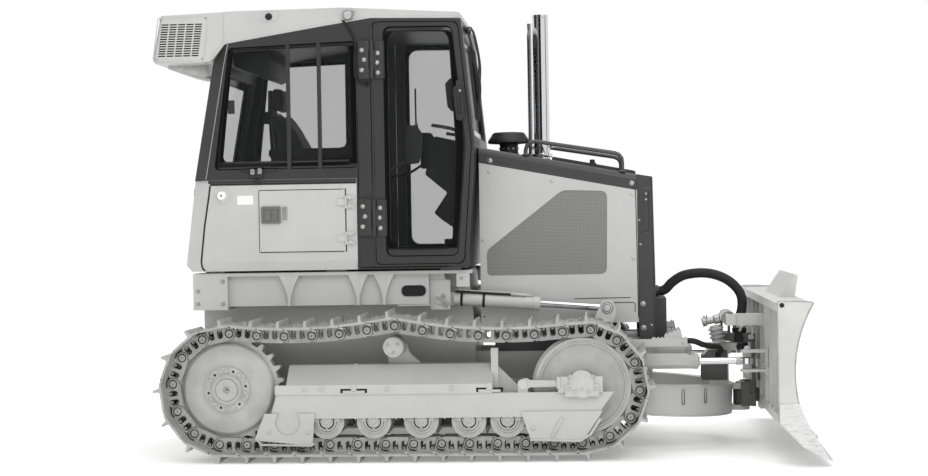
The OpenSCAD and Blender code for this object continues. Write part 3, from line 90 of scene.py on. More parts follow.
def two_tones(tree, shader, fac, low, high, start=0.35, end=0.68):
    """The base colour runs between two tones over a pattern."""
    ramp = add_node(tree, "ValToRGB", links={"Fac": fac})
    for element, place, tone in zip(ramp.color_ramp.elements, (start, end), (low, high)):
        element.position = place
        element.color = linear(tone)
    tree.links.new(ramp.outputs["Color"], shader.inputs["Base Color"])


def relief(tree, shader, height, strength, depth=0.001):
    """A pattern stands out of the surface by a depth in metres."""
    bump = add_node(tree, "Bump", {"Strength": strength, "Distance": depth}, {"Height": height})
    tree.links.new(bump.outputs["Normal"], shader.inputs["Normal"])


camera = bpy.data.objects.new("camera", bpy.data.cameras.new("camera"))
bpy.context.collection.objects.link(camera)
camera.data.sensor_width = 36
camera.data.lens = 71.77
camera.matrix_world = (Matrix.Translation(at(1240, -12103, 1447)) @ Matrix.Rotation(math.radians(0.95), 4,
    "Y") @ Matrix.Rotation(math.radians(4.204), 4, "Z") @ Matrix.Rotation(math.radians(90 - 0.556), 4, "X"))
bpy.context.scene.camera = camera
bpy.context.scene.view_settings.view_transform = "Standard"

# sealed concrete, painted white: faint cloudy patches half a metre across
concrete, tree, shader = start_material("painted_studio_floor", None, "F6F6F6", Roughness=0.9,
    Emission_Strength=0.2)
shader.inputs["Emission Color"].default_value = linear("FFFFFF")
clouds = add_node(tree, "TexNoise", {"Scale": 2.0, "Detail": 3.0}, {"Vector": add_node(tree,
    "TexCoord").outputs["Object"]})
two_tones(tree, shader, clouds.outputs["Fac"], "F3F3F3", "FAFAFA")
bpy.ops.object.select_all(action="DESELECT")
bpy.ops.mesh.primitive_plane_add(size=60)
floor = bpy.context.object
floor.name = "studio_floor"
floor.data.materials.append(concrete)

world = bpy.data.worlds.new("studio")
world.use_nodes = True
world.node_tree.nodes["Background"].inputs["Color"].default_value = linear("FFFFFF")
world.node_tree.nodes["Background"].inputs["Strength"].default_value = 1.0
bpy.context.scene.world = world


def lamp(name, place, target, size, watts):
    """A square area lamp that faces a target."""
    data = bpy.data.lights.new(name, "AREA")
    data.size = size
    data.energy = watts
    made = bpy.data.objects.new(name, data)
    bpy.context.collection.objects.link(made)
    made.location = place
    made.rotation_euler = (target - place).to_track_quat("-Z", "Y").to_euler()


lamp("key_lamp", at(3400, -7200, 6200), at(500, 0, 1000), 4.0, 150)
lamp("fill_lamp", at(-5200, -7000, 3200), at(0, 0, 1000), 6.0, 30)
lamp("top_lamp", at(400, 200, 8200), at(400, 0, 1200), 5.0, 150)

# black felt cards round the lens side, which only glossy surfaces see
felt, tree, shader = start_material("black_felt_card", None, "0A0A0A", Roughness=1.0)
for name, low, high in (("lens_card", (-9000, -16000), (3300, -16000)),
    ("rear_card", (-9000, -16000), (-9000, 1000)), ("front_card", (10500, -3000), (10500, -1200))):
    bpy.ops.object.select_all(action="DESELECT")
    bpy.ops.mesh.primitive_plane_add(size=1)
    card = bpy.context.object
    card.name = name
    for vertex in card.data.vertices:
        end = low if vertex.co.x < 0 else high
        vertex.co = at(*end, 100 if vertex.co.y < 0 else 7000)
    card.data.materials.append(felt)
    card.visible_camera = card.visible_diffuse = card.visible_shadow = card.visible_transmission = False

# ----------------------------------------------------------------- hoses
# Two hydraulic hoses in black textile sleeves. The thick bundle arches from
# the radiator guard to the clamp on the kingpin; the thin one lies on the push
# frame, from the cover to the tower.
sleeve, tree, shader = start_material("woven_nylon_hose_sleeve", "hose_rubber", "202020", Roughness=0.75)
# plaited strands, in truth 1 mm wide, drawn about 8 mm wide so that they show
strands = add_node(tree, "TexWave", {"Scale": 38.0, "Distortion": 1.5, "bands_direction": "DIAGONAL"},
    {"Vector": add_node(tree, "TexCoord").outputs["Object"]})
relief(tree, shader, strands.outputs["Color"], 0.35, 0.002)


def select_only(*pieces):
    """These pieces are selected and nothing else, the last one active."""
    if bpy.context.object and bpy.context.object.mode != "OBJECT":
        bpy.ops.object.mode_set(mode="OBJECT")
    bpy.ops.object.select_all(action="DESELECT")
    for piece in pieces:
        piece.select_set(True)
        bpy.context.view_layer.objects.active = piece


def smooth_route(route, steps=6):
    """Points between the given ones, on a Catmull-Rom curve."""
    places = [at(*p) for p in route]
    points = []
    for i in range(len(places) - 1):
        a, b, c, d = (places[max(0, min(len(places) - 1, i + k))] for k in (-1, 0, 1, 2))
        for step in range(steps):
            t = step / steps
            points.append(0.5 * (2 * b + (c - a) * t + (2 * a - 5 * b + 4 * c - d) * t * t +
                (3 * b - a - 3 * c + d) * t * t * t))
    return points + [places[-1]]


WELD = 0.00001      # points closer than this, in metres, are one


def add_spline(curve, points, closed=False):
    """Straight stretches between points, given in metres."""
    spline = curve.splines.new("POLY")
    spline.use_cyclic_u = closed
    spline.points.add(len(points) - 1)
    for point, place in zip(spline.points, points):
        point.co = (*place, 1)


def as_mesh(name, curve, spins=0):
    """The curve as a closed mesh; the profile of a turned piece is spun about z first."""
    made = bpy.data.objects.new(name, curve)
    bpy.context.collection.objects.link(made)
    select_only(made)
    bpy.ops.object.convert(target="MESH")
    made = bpy.context.object
    bpy.ops.object.mode_set(mode="EDIT")
    bpy.ops.mesh.select_all(action="SELECT")
    if spins:
        bpy.ops.mesh.spin(steps=spins, angle=math.tau, center=(0, 0, 0), axis=(0, 0, 1))
        bpy.ops.mesh.select_all(action="SELECT")
    bpy.ops.mesh.remove_doubles(threshold=WELD)
    bpy.ops.mesh.normals_make_consistent(inside=False)
    bpy.ops.object.mode_set(mode="OBJECT")
    return made


def tube(name, points, radius, rings=4, closed=False):
    """A round bar or hose of a radius in millimetres that follows points, as a mesh."""
    curve = bpy.data.curves.new(name, "CURVE")
    curve.dimensions = "3D"
    curve.bevel_depth = radius / 1000
    curve.bevel_resolution = rings
    curve.use_fill_caps = not closed
    add_spline(curve, points, closed)
    return as_mesh(name, curve)


def settle(piece, material, body="chassis", angle=32, slot=None):
    """A finished piece gets its surface, its material and the body that it rides on; its slot is not used."""
    select_only(piece)
    bpy.ops.object.shade_smooth_by_angle(angle=math.radians(angle))
    piece.data.materials.clear()
    piece.data.materials.append(material)
    if body:
        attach(piece, body)
    return piece


KINGPIN_X = 2130
upper_route = smooth_route([(1612, 0, 980), (1634, 0, 980), (1662, 0, 994), (1704, 0, 1036), (1775, 0, 1078),
    (1878, 0, 1093), (1974, 0, 1082), (2060, 0, 1044), (2124, 0, 984), (2150, 0, 920), (2146, 0, 845),
    (KINGPIN_X, 0, 795), (KINGPIN_X, 0, 763)])
bundle = settle(tube("hose_bundle_upper", upper_route, 31, 6), sleeve, None, 60)
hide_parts("upper_hose")
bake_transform(bundle)

lower_route = smooth_route([(1770.3, -478, 684), (1794, -478, 684), (1828, -466, 676), (1872, -436, 656),
    (1925, -360, 640), (1975, -260, 628), (1998, -170, 604), (1990, -112, 576), (1985, -86, 566),
    (1985, -70.3, 566)])
thin_hose = settle(tube("hose_lower", lower_route, 18, 4), sleeve, "push_frame", 60)
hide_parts("lower_hose")

# ------------------------------------------------------- hull and drawbar
# The hull is a welded steel box between the tracks, sprayed in pale enamel,
# with flared ribs under its shelf. The drawbar is bolted to its rear face.


def enamel(name, slot, colour, dust, roughness):
    """Two-pack enamel: a clear, slightly wavy surface whose tone drifts over wide, faint patches of dust."""
    material, tree, shader = start_material(name, slot, colour, Roughness=roughness, Coat_Weight=0.12,
        Coat_Roughness=0.2)
    place = add_node(tree, "TexCoord").outputs["Object"]
    patches = add_node(tree, "TexNoise", {"Scale": 2.4, "Detail": 5.0, "Roughness": 0.62}, {"Vector": place})
    two_tones(tree, shader, patches.outputs["Fac"], colour, dust, 0.32, 0.72)
    # orange peel is 2 to 3 mm across; drawn at 12 mm so that it shows
    skin = add_node(tree, "TexNoise", {"Scale": 80.0, "Detail": 2.0}, {"Vector": place})
    relief(tree, shader, skin.outputs["Fac"], 0.06)
    return material


def cast(name, slot, colour, worn, patch, roughness, metallic=0.0):
    """Forged or cast steel under thin paint: a grainy skin, with lighter rubbed patches some cm across."""
    material, tree, shader = start_material(name, slot, colour, Roughness=roughness, Metallic=metallic)
    place = add_node(tree, "TexCoord").outputs["Object"]
    rubbed = add_node(tree, "TexNoise", {"Scale": 1000 / patch, "Detail": 6.0, "Roughness": 0.65},
        {"Vector": place})
    two_tones(tree, shader, rubbed.outputs["Fac"], colour, worn, 0.38, 0.66)
    grains = add_node(tree, "TexNoise", {"Scale": 140.0, "Detail": 3.0}, {"Vector": place})
    relief(tree, shader, grains.outputs["Fac"], 0.25)
    return material


def even(name, slot, colour, grain=10.0, strength=0.1, **sockets):
    """One even colour; its grain, some millimetres across, is in the relief."""
    material, tree, shader = start_material(name, slot, colour, **sockets)
    grains = add_node(tree, "TexNoise", {"Scale": 1000 / grain, "Detail": 3.0},
        {"Vector": add_node(tree, "TexCoord").outputs["Object"]})
    relief(tree, shader, grains.outputs["Fac"], strength)
    return material


def dress(material, *names):
    """These CAD nodes keep their shape and take this finish."""
    for name in names:
        for surface in nodes[name].material_slots:
            surface.material = material


def both(*names):
    return [f"{side}_{name}" for name in names for side in ("right", "left")]


pale_enamel = enamel("pale_grey_enamel", "body_paint", "B4B4B2", "BEBEBB", 0.42)
dark_enamel = enamel("dark_grey_enamel", "dark_paint", "333333", "3B3B3B", 0.45)
cab_enamel = enamel("satin_black_enamel", "dark_paint", "282828", "2F2F2F", 0.5)
zinc_plate = even("zinc_plated_steel", "edge_steel", "B4B4B2", 3.0, 0.1, Metallic=0.85, Roughness=0.35)
# black rubber for seals, mats, lines and plugs; the same black also stands as painted shade in holes, notches
# and grooves
rubber_and_shade_black = even("epdm_rubber_and_painted_shade", "black_plastic", "191919", 6.0, 0.12, Roughness=0.8)
dress(pale_enamel, "main_frame")
dress(dark_enamel, "drawbar")


def side_view(y):
    """Turns a flat shape so that it stands along the machine: across, up; its middle at y."""
    return Matrix.Translation(Vector((0, y / 1000, 0))) @ Matrix.Rotation(math.radians(90), 4, "X")


def front_view(x):
    """Turns a flat shape so that it stands across the machine: to the left, up; its middle at x."""
    return Matrix.Translation(at(x, 0, 0)) @ Matrix(((0, 0, 1, 0), (1, 0, 0, 0), (0, 1, 0, 0), (0, 0, 0, 1)))


def break_edges(piece, width, steps=2, angle=35):
    """Rounds the piece's sharp edges by a width in millimetres."""
    select_only(piece)
    bevel = piece.modifiers.new("edges", "BEVEL")
    bevel.width = width / 1000
    bevel.segments = steps
    bevel.limit_method = "ANGLE"
    bevel.angle_limit = math.radians(angle)
    bpy.ops.object.modifier_apply(modifier="edges")
    return piece


def plate(name, loops, thickness, place, soft=0.0):
    """A plate cut from sheet: its outline, then its holes, in millimetres; at x and z in a side view."""
    curve = bpy.data.curves.new(name, "CURVE")
    curve.dimensions = "2D"
    curve.fill_mode = "BOTH"
    curve.extrude = thickness / 2000
    shift = 0 if place.translation.x else -SETBACK
    for loop in loops:
        add_spline(curve, [((u + shift) / 1000, v / 1000, 0) for u, v in loop], True)
    made = as_mesh(name, curve)
    made.data.transform(place)
    return break_edges(made, soft) if soft else made


def block(name, low, high, soft=3.0, steps=2):
    """A welded or machined block between two corners, its edges rounded."""
    bpy.ops.object.select_all(action="DESELECT")
    bpy.ops.mesh.primitive_cube_add(size=0.001)
    made = bpy.context.object
    made.name = name
    size = [b - a for a, b in zip(low, high)]
    made.data.transform(Matrix.Translation(at(*[(a + b) / 2 for a, b in zip(low,
        high)])) @ Matrix.Diagonal((*size, 1)))
    return break_edges(made, soft, steps)


def bar(name, start, end, radius, sides=24, soft=1.0, far_radius=None):
    """A round bar, or a taper, between two places, with its ends' edges rounded."""
    a, b = at(*start), at(*end)
    bpy.ops.object.select_all(action="DESELECT")
    bpy.ops.mesh.primitive_cone_add(vertices=sides, radius1=radius / 1000,
        radius2=(far_radius or radius) / 1000, depth=(b - a).length)
    made = bpy.context.object
    made.name = name
    made.data.transform(Matrix.Translation((a + b) / 2) @ (b - a).to_track_quat("Z",
        "Y").to_matrix().to_4x4())
    return break_edges(made, soft, 1) if soft else made


def turned(name, profile, centre, axis, sides=48):
    """A turned piece: profile of (radius, place along the axis), spun about the axis through its centre."""
    curve = bpy.data.curves.new(name, "CURVE")
    curve.dimensions = "3D"
    add_spline(curve, [(radius / 1000, 0, along / 1000) for radius, along in profile])
    made = as_mesh(name, curve, sides)
    made.data.transform(Matrix.Translation(at(*centre)) @ Vector(axis).to_track_quat("Z",
        "Y").to_matrix().to_4x4())
    return made


def copies(source, matrices):
    """Copies of a piece, each with its own mesh; the source goes."""
    made = []
    for matrix in matrices:
        twin = source.copy()
        twin.data = source.data.copy()
        twin.data.transform(matrix)
        if matrix.to_3x3().determinant() < 0:
            twin.data.flip_normals()
        bpy.context.collection.objects.link(twin)
        made.append(twin)
    bpy.data.objects.remove(source)
    return made


def joined(name, *pieces):
    """One piece of several."""
    select_only(*pieces)
    bpy.ops.object.join()
    bpy.context.object.name = name
    return bpy.context.object


ACROSS = Matrix.Diagonal((1, -1, 1, 1))
AS_IS = Matrix.Identity(4)


def on_both_sides(piece, *finish, **more):
    """A piece of the right-hand side, joined to its mirror image on the left and then settled."""
    return settle(joined(piece.name, *copies(piece, (AS_IS, ACROSS))), *finish, **more)


def rounded(points, radius, steps=4):
    """An outline with its corners rounded by arcs."""
    out = []
    for i, corner in enumerate(points):
        p = Vector(corner)
        u = (Vector(points[i - 1]) - p).normalized()
        v = (Vector(points[(i + 1) % len(points)]) - p).normalized()
        half = u.angle(v) / 2
        reach = radius / math.tan(half)
        centre = p + (u + v).normalized() * radius / math.sin(half)
        s, e = p + u * reach - centre, p + v * reach - centre
        turn = s.angle_signed(e)
        for k in range(steps + 1):
            g = -turn * k / steps
            out.append((centre.x + s.x * math.cos(g) - s.y * math.sin(g),
                centre.y + s.x * math.sin(g) + s.y * math.cos(g)))
    return out


def oblong(x0, z0, x1, z1, radius, steps=4):
    return rounded([(x0, z0), (x1, z0), (x1, z1), (x0, z1)], radius, steps)


def circle(x, z, radius, sides=20, start=0.0, sweep=360.0):
    count = sides if sweep == 360.0 else sides + 1
    return [(x + radius * math.cos(math.radians(start + sweep * k / sides)),
        z + radius * math.sin(math.radians(start + sweep * k / sides))) for k in range(count)]


def bolts(name, places, outward, width, round_heads=False):
    """Bolt heads of a width over flats, each on a washer, which stand out of a surface."""
    washer = bar("washer", (SETBACK, 0, 0), (SETBACK, 0, width * 0.14), width * 0.62, 16, 0)
    if round_heads:
        head = turned("head", [(0, width * 0.5), (width * 0.24, width * 0.46), (width * 0.42, width * 0.33),
            (width * 0.5, width * 0.12), (width * 0.5, 0)], (SETBACK, 0, 0), (0, 0, 1), 12)
    else:
        head = bar("head", (SETBACK, 0, 0), (SETBACK, 0, width * 0.55), width * 0.58, 6, width * 0.07)
    one = joined("bolt", washer, head)
    turn = Vector(outward).to_track_quat("Z", "Y").to_matrix().to_4x4()
    return joined(name, *copies(one, [Matrix.Translation(at(*p)) @ turn for p in places]))


# oblong hole above the lift cylinder's bracket: a dark rubber grommet round it, and a dark plate across the
# opening as painted shade of the hole
RIGHT_SHELF = -580
grommet = plate("shelf_grommet", [oblong(-6, 990, 147, 1058, 30), oblong(6, 1002, 135, 1046, 20)], 8,
    side_view(RIGHT_SHELF - 3))
hole_shade_plate = plate("shelf_hole_shade_plate", [oblong(6, 1002, 135, 1046, 20)], 2, side_view(RIGHT_SHELF - 1))
on_both_sides(joined("shelf_grommets_and_hole_shade", grommet, hole_shade_plate), rubber_and_shade_black)

# flares that run from the shelf's ribs to its web
flares = []
for x in (-711, -276, -112):
    for way in (-1, 1):
        edge = [(x + way * 6, 942)] + [(x + way * (8 + 62 * t * t), 942 + 196 * t) for t in (0.25, 0.5, 0.75,
            1.0)]
        edge += [(x + way * 6, 1138)]
        flares.append(plate("flare", [edge], 36, side_view(-600), 3))
on_both_sides(joined("shelf_flares", *flares), pale_enamel)

# strip and bolts along the shelf, and the round cast cover of the lift cylinder's pin
strip = block("shelf_strip", (-30, -586, 928), (172, -560, 937), 2)
pin_cover = plate("pin_cover", [circle(235, 975, 40, 28, 20, 320) + [(235, 975)]], 6, side_view(-556), 2)
on_both_sides(joined("shelf_fittings", strip, pin_cover), pale_enamel)
on_both_sides(bolts("shelf_bolts", [(-1290, -620, 1040), (-1290, -620, 960), (-1130, -620, 960),
    (-1130, -620, 1100), (252, -559, 994), (252, -559, 956), (218, -559, 975)], (0, -1, 0), 20), zinc_plate)

# ----------------------------------------------------------------- tracks
# Each track is a loop of forged links, pinned together, with a rolled steel
# shoe and its grouser bolted to each pair. All is painted with the frame.
PITCH = 171.45
SHOES = 38
TRACK_Y = 774.5
SPROCKET_X, CARRIER_X, CARRIER_TOP = -1060, -32, 824
CARRIER_Z = 692
SAG_FRONT, SAG_REAR = 52, 40
GROUSER = 98
WRAP_TURN = 28.8                                            # turn of one link on a wheel, in degrees
wrap_r = PITCH / 2 / math.sin(math.radians(WRAP_TURN / 2))
half_wrap = 180 / WRAP_TURN * PITCH
WHEEL_Z = GROUSER + wrap_r
straight = SHOES * PITCH / 2 - half_wrap
sag_extra = 8 / 3 * (SAG_FRONT ** 2 + SAG_REAR ** 2) / (straight / 2)
lower_run, upper_run = straight - sag_extra / 2, straight + sag_extra / 2
IDLER_X = SPROCKET_X + lower_run
FIRST_PIN = 0.67                                            # first pin ahead of the sprocket, in links


def upper_pin_z(x):
    """Height of the sagging upper run's pin line."""
    ahead = x > CARRIER_X
    x0, x1 = (CARRIER_X, IDLER_X) if ahead else (SPROCKET_X, CARRIER_X)
    z0, z1 = (CARRIER_TOP, WHEEL_Z + wrap_r) if ahead else (WHEEL_Z + wrap_r, CARRIER_TOP)
    t = (x - x0) / (x1 - x0)
    return z0 + (z1 - z0) * t - 4 * (SAG_FRONT if ahead else SAG_REAR) * t * (1 - t)


def pin_place(k):
    """A pin of the chain, counted forward along the ground."""
    s = ((k + FIRST_PIN) % SHOES) * PITCH
    if s < lower_run:
        return Vector((SPROCKET_X + s, WHEEL_Z - wrap_r))
    s -= lower_run
    if s < half_wrap:
        turn = math.radians(s / half_wrap * 180 - 90)
        return Vector((IDLER_X, WHEEL_Z)) + wrap_r * Vector((math.cos(turn), math.sin(turn)))
    s -= half_wrap
    if s < upper_run:
        x = IDLER_X - s / upper_run * lower_run
        return Vector((x, upper_pin_z(x)))
    turn = math.radians(90 + (s - upper_run) / half_wrap * 180)
    return Vector((SPROCKET_X, WHEEL_Z)) + wrap_r * Vector((math.cos(turn), math.sin(turn)))


link_places = []
for k in range(SHOES):
    here, there = pin_place(k), pin_place(k + 1)
    run = (there - here).normalized()
    link_places.append(Matrix.Translation(at(here.x, -TRACK_Y, here.y)) @ Matrix(((run.x, run.y, 0, 0),
        (0, 0, 1, 0), (run.y, -run.x, 0, 0), (0, 0, 0, 1))))


def to_link(y):
    """A flat shape's place in a link's own frame: along it, outward, and across at y."""
    return Matrix.Translation(Vector((0.0, 0.0, y / 1000)))


def link_plate(name, loops, thickness, y):
    """A flat shape in the link's own frame: along the link from its first pin, and outward."""
    made = plate(name, [[(u + SETBACK, v) for u, v in loop] for loop in loops], thickness, AS_IS)
    made.data.transform(to_link(y))
    return made


# the outer half of a link carries its pin, the inner half its bushing; they lap at each joint
windows = [oblong(s - 17, -20, s + 17, 38, 14, 3) for s in (58, 112)]
pin_half = ([(10, -42)] + [(PITCH - 36, -42)] + circle(PITCH, 0, 41, 5, 225, -90) + [(PITCH - 42, 44),
    (24, 44)] + circle(0, 0, 36, 9, 78, 200))
bushing_half = ([(36, -42), (PITCH - 10, -42)] + circle(PITCH, 0, 36, 9, -98, 200) + [(PITCH - 40, 44),
    (40, 44)] + circle(0, 0, 41, 5, 45, -90))
pieces = [link_plate("link", [pin_half] + windows, 20, -78), link_plate("link", [bushing_half] + windows, 20,
    -58)]
pin = turned("pin_end", [(0, 2), (4, 2), (5, 8), (18, 9), (21, 6), (22, 0), (27, 0), (28, 6), (33, 5),
    (35, -2)], (SETBACK, 0, 0), (0, 0, -1), 16)
pin.data.transform(to_link(-88))
pieces.append(pin)
for s in (58, 112):
    nut = bar("nut", (SETBACK + s, 0, 0), (SETBACK + s, 0, 22), 10, 6, 0)
    nut.data.transform(Matrix.Translation(Vector((0, 0.020, -0.068))) @ Matrix.Rotation(math.radians(-90), 4,
        "X"))
    pieces.append(nut)
half_link = joined("half_link", *pieces)
bushing = bar("bushing", (SETBACK, 0, -50), (SETBACK, 0, 50), 27, 14, 0)
link_pair = joined("link_pair", *copies(half_link, (AS_IS, Matrix.Diagonal((1, 1, -1, 1)))), bushing)


shoe_outline = [(-44, 30), (-32, 33), (-20, 41), (-6, 44.3), (PITCH - 18, 44.3), (PITCH - 18, 55),
    (PITCH - 21, 58), (36, 58), (30, 64), (27, 94), (25, GROUSER), (15, GROUSER), (13, 94), (10, 64), (5, 58),
    (-6, 57), (-22, 51), (-34, 43), (-46, 39)]
shoe = link_plate("shoe", [shoe_outline], 457, 0)
heads = []
for s in (58, 112):
    for y in (-68, 68):
        head = bar("head", (SETBACK + s, 0, 0), (SETBACK + s, 0, 13), 17, 6, 0)
        head.data.transform(Matrix.Translation(Vector((0, 0.058, y / 1000))) @
            Matrix.Rotation(math.radians(-90), 4, "X"))
        heads.append(head)
shoe = joined("shoe", shoe, *heads)
track_steel = cast("forged_track_steel_painted", "track_steel", "9A9A97", "ADADAA", 110, 0.55)
for name, source, node_part in (("track_chain", link_pair, True), ("track_shoes", shoe, False)):
    right = joined(f"{name}_right", *copies(source, link_places))
    twin = right.copy()
    twin.data = right.data.copy()
    twin.name = f"{name}_left"
    bpy.context.collection.objects.link(twin)
    twin.data.transform(ACROSS)
    twin.data.flip_normals()
    for side, piece in (("right", right), ("left", twin)):
        settle(piece, track_steel)
        if node_part:
            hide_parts(f"{side}_track")

# ------------------------------------------- sprockets, idlers and rollers
# Turned steel castings. The sprocket's hub carries a ring of bolts and
# threaded holes, drawn as dark discs of painted shade; the rollers' caps three bolts each.
cast_steel = cast("cast_steel_painted", "body_paint", "A8A8A5", "B6B6B3", 140, 0.5)
dress(cast_steel, *both("sprocket", "idler", "rollers"))
ring = [(SPROCKET_X + 117 * math.cos(math.radians(g)), -TRACK_Y - 112,
    WHEEL_Z + 117 * math.sin(math.radians(g))) for g in range(10, 370, 20)]
on_both_sides(bolts("sprocket_bolts", [p for i, p in enumerate(ring) if i % 3], (0, -1, 0), 27, True),
    cast_steel)
# dark discs on the threaded holes and the hub's bore: painted shade
hole_shade_discs = [bar("hole_shade_disc", p, (p[0], p[1] - 1, p[2]), 8, 14, 0) for p in ring[::3]]
hole_shade_discs.append(bar("hole_shade_disc", (SPROCKET_X, -TRACK_Y - 118, WHEEL_Z), (SPROCKET_X, -TRACK_Y - 119, WHEEL_Z), 5, 12,
    0))
on_both_sides(joined("sprocket_hole_shade_discs", *hole_shade_discs), rubber_and_shade_black)
rims = [turned("rim", [(r - 7, -2), (r - 5, -7), (r, -8), (r + 5, -7), (r + 7, -2)],
    (x, -TRACK_Y - y, WHEEL_Z), (0, 1, 0), 64) for x, r, y in ((SPROCKET_X, 263, 60), (SPROCKET_X, 78, 122),
    (IDLER_X, 262, 76), (IDLER_X, 100, 56))]
on_both_sides(joined("wheel_rims", *rims), cast_steel)

ROLLER_Z = 240
CAP_Y = -TRACK_Y - 118
roller_xs = (-683, -446, -157, 134, 425, 662)
caps = []
for x in roller_xs:
    caps.append(turned("cap", [(0, -10), (14, -10), (18, -6), (34, -5), (40, 0), (47, 0)],
        (x, CAP_Y, ROLLER_Z), (0, 1, 0), 28))
    caps.append(turned("cap", [(60, -2), (66, -6), (74, -6), (80, 0)], (x, -TRACK_Y - 106, ROLLER_Z),
        (0, 1, 0), 36))
caps.append(turned("cap", [(0, -4), (12, -4), (16, -1), (46, -1), (50, -6), (58, -6), (62, 0)],
    (CARRIER_X, -TRACK_Y - 108, CARRIER_Z), (0, 1, 0), 32))
on_both_sides(joined("roller_caps", *caps), cast_steel)
cap_bolts = [(x + 36 * math.cos(g), CAP_Y, ROLLER_Z - 6 + 36 * math.sin(g)) for x in roller_xs for g in (0.35,
    math.pi - 0.35, -math.pi / 2)]
cap_bolts += [(CARRIER_X + 32 * math.cos(g), -TRACK_Y - 109, CARRIER_Z + 32 * math.sin(g)) for g in (0.6, 2.7,
    -1.5)]
on_both_sides(bolts("roller_cap_bolts", cap_bolts, (0, -1, 0), 14), zinc_plate)

# ------------------------------------------------------------ track frames
# Box beams folded and welded from plate, with a sloping cover bolted to a
# strip, guards for the rollers, and slide blocks in front for the idler.
dress(pale_enamel, *both("track_frame"))
STRIP_Y = -TRACK_Y - 138
frame_bolts = [(x, STRIP_Y, 441) for x in (-579, -471, -71, 324)]
frame_bolts += [(x, -TRACK_Y - 142, z) for x, z in ((-796, 185), (-558, 178), (817, 194))]
on_both_sides(bolts("frame_bolts", frame_bolts, (0, -1, 0), 24, True), pale_enamel)
# T-shaped notches where the cover's webs pass through the strip, drawn as dark blocks of painted shade, and
# the webs themselves
notch_shades, webs = [], []
for x, stem in ((-274, 26), (556, 30)):
    notch_shades += [block("notch_shade", (x - 82, STRIP_Y - 1, 416), (x - 68, STRIP_Y + 6, 442), 1, 1),
        block("notch_shade", (x + 68, STRIP_Y - 1, 416), (x + 82, STRIP_Y + 6, 442), 1, 1),
        block("notch_shade", (x - 82, STRIP_Y - 1, 432), (x - stem / 2 - 4, STRIP_Y + 6, 443), 1, 1),
        block("notch_shade", (x + stem / 2 + 4, STRIP_Y - 1, 432), (x + 82, STRIP_Y + 6, 443), 1, 1)]
    webs.append(block("web", (x - 66, STRIP_Y - 4, 416), (x + 66, STRIP_Y + 8, 430), 2))
    webs.append(block("web", (x - stem / 2, STRIP_Y - 4, 424), (x + stem / 2, STRIP_Y + 8, 470), 2))
on_both_sides(joined("cover_notch_shades", *notch_shades), rubber_and_shade_black)
# the web that crosses the sloping cover
ridge = plate("web", [[(STRIP_Y + 4, 462), (-TRACK_Y + 2, 586), (-TRACK_Y + 2, 560), (STRIP_Y + 4, 436)]], 24,
    front_view(-274))
webs.append(ridge)
on_both_sides(joined("cover_webs", *webs), pale_enamel)
# lips welded round the guards, and the front guard's diagonal rib
GUARD_Y = -TRACK_Y - 144
lips = [plate("lip", [[(-880, 140), (-852, 100), (-535, 92), (-518, 110), (-518, 120), (-540, 104),
    (-848, 112), (-872, 146)]], 8, side_view(GUARD_Y - 2), 2), plate("lip",
    [[(795, 118), (1100, 108), (1168, 149), (1233, 250), (1216, 252), (1156, 158), (1095, 122), (800, 132)]],
    8, side_view(GUARD_Y - 2), 2), plate("lip", [[(985, 256), (1004, 256), (938, 140), (922, 140)]], 12,
    side_view(GUARD_Y - 2), 3)]
on_both_sides(joined("guard_lips", *lips), pale_enamel)
# slide block's clamp: a round cap between two lugs, over a plate with five studs
SLIDE_Y = -TRACK_Y - 152
clamp = [plate("clamp", [oblong(1013, 385, 1219, 458, 5)], 14, side_view(SLIDE_Y - 5), 3),
    plate("clamp", [[(1040, 458)] + circle(1115, 470, 74, 14, 160, -140) + [(1192, 458)]], 12,
    side_view(SLIDE_Y - 4), 3), turned("clamp", [(0, -12), (30, -12), (40, -6), (44, 4)],
    (1114, SLIDE_Y - 6, 462), (0, 1, 0), 28), block("clamp", (962, SLIDE_Y - 10, 432),
    (986, SLIDE_Y + 30, 506), 6), plate("clamp", [circle(775, 464, 34, 20, 40, 280) + [(968, 446),
    (968, 482)], circle(775, 464, 14, 14)], 18, side_view(SLIDE_Y + 14), 3)]
on_both_sides(joined("slide_clamps", *clamp), pale_enamel)
studs = [(x, SLIDE_Y - 12, 432 - 16 * (i % 2)) for i, x in enumerate((1035, 1075, 1115, 1155, 1197))]
studs += [(1046, SLIDE_Y - 10, 508), (1184, SLIDE_Y - 10, 508)]
on_both_sides(bolts("slide_studs", studs, (0, -1, 0), 18), cast_steel)

# ------------------------------------------------- rear body and its doors
# Two side tanks in one welded shell, pressed from sheet and enamelled, with a
# hinged service door on each side. The door's latch is a cast paddle, and
# the oblong sticker plate behind it is bare.
dress(pale_enamel, "rear_body", *both("service_door"))
SIDE_Y = -660
moulded_black = even("moulded_abs_black", "black_plastic", "1F1F1F", 8.0, 0.2, Roughness=0.55)
bare_plate = even("lacquered_aluminium_plate", "body_paint", "E6E6E4", 2.0, 0.05, Roughness=0.3)


def beads(name, radius, *routes):
    """Round beads that follow routes of places."""
    return joined(name, *[tube("bead", [at(*p) for p in route], radius, 3) for route in routes])


# rubber beads along the corner's chamfer and under the window sill, and the dark skirt over the panel's top
on_both_sides(beads("body_seams", 5.5, [(-1190, SIDE_Y, 1706), (-271, SIDE_Y, 1706)],
    [(-1192, SIDE_Y, 1702), (-1200, SIDE_Y, 1640), (-1231, SIDE_Y, 1450), (-1256, SIDE_Y, 1223),
    (-1251, -650, 1186), (-1236, -646, 1168)]), rubber_and_shade_black)
on_both_sides(block("sill_skirt", (-1204, SIDE_Y - 3, 1712), (-270, SIDE_Y + 2, 1733), 1.5), cab_enamel)
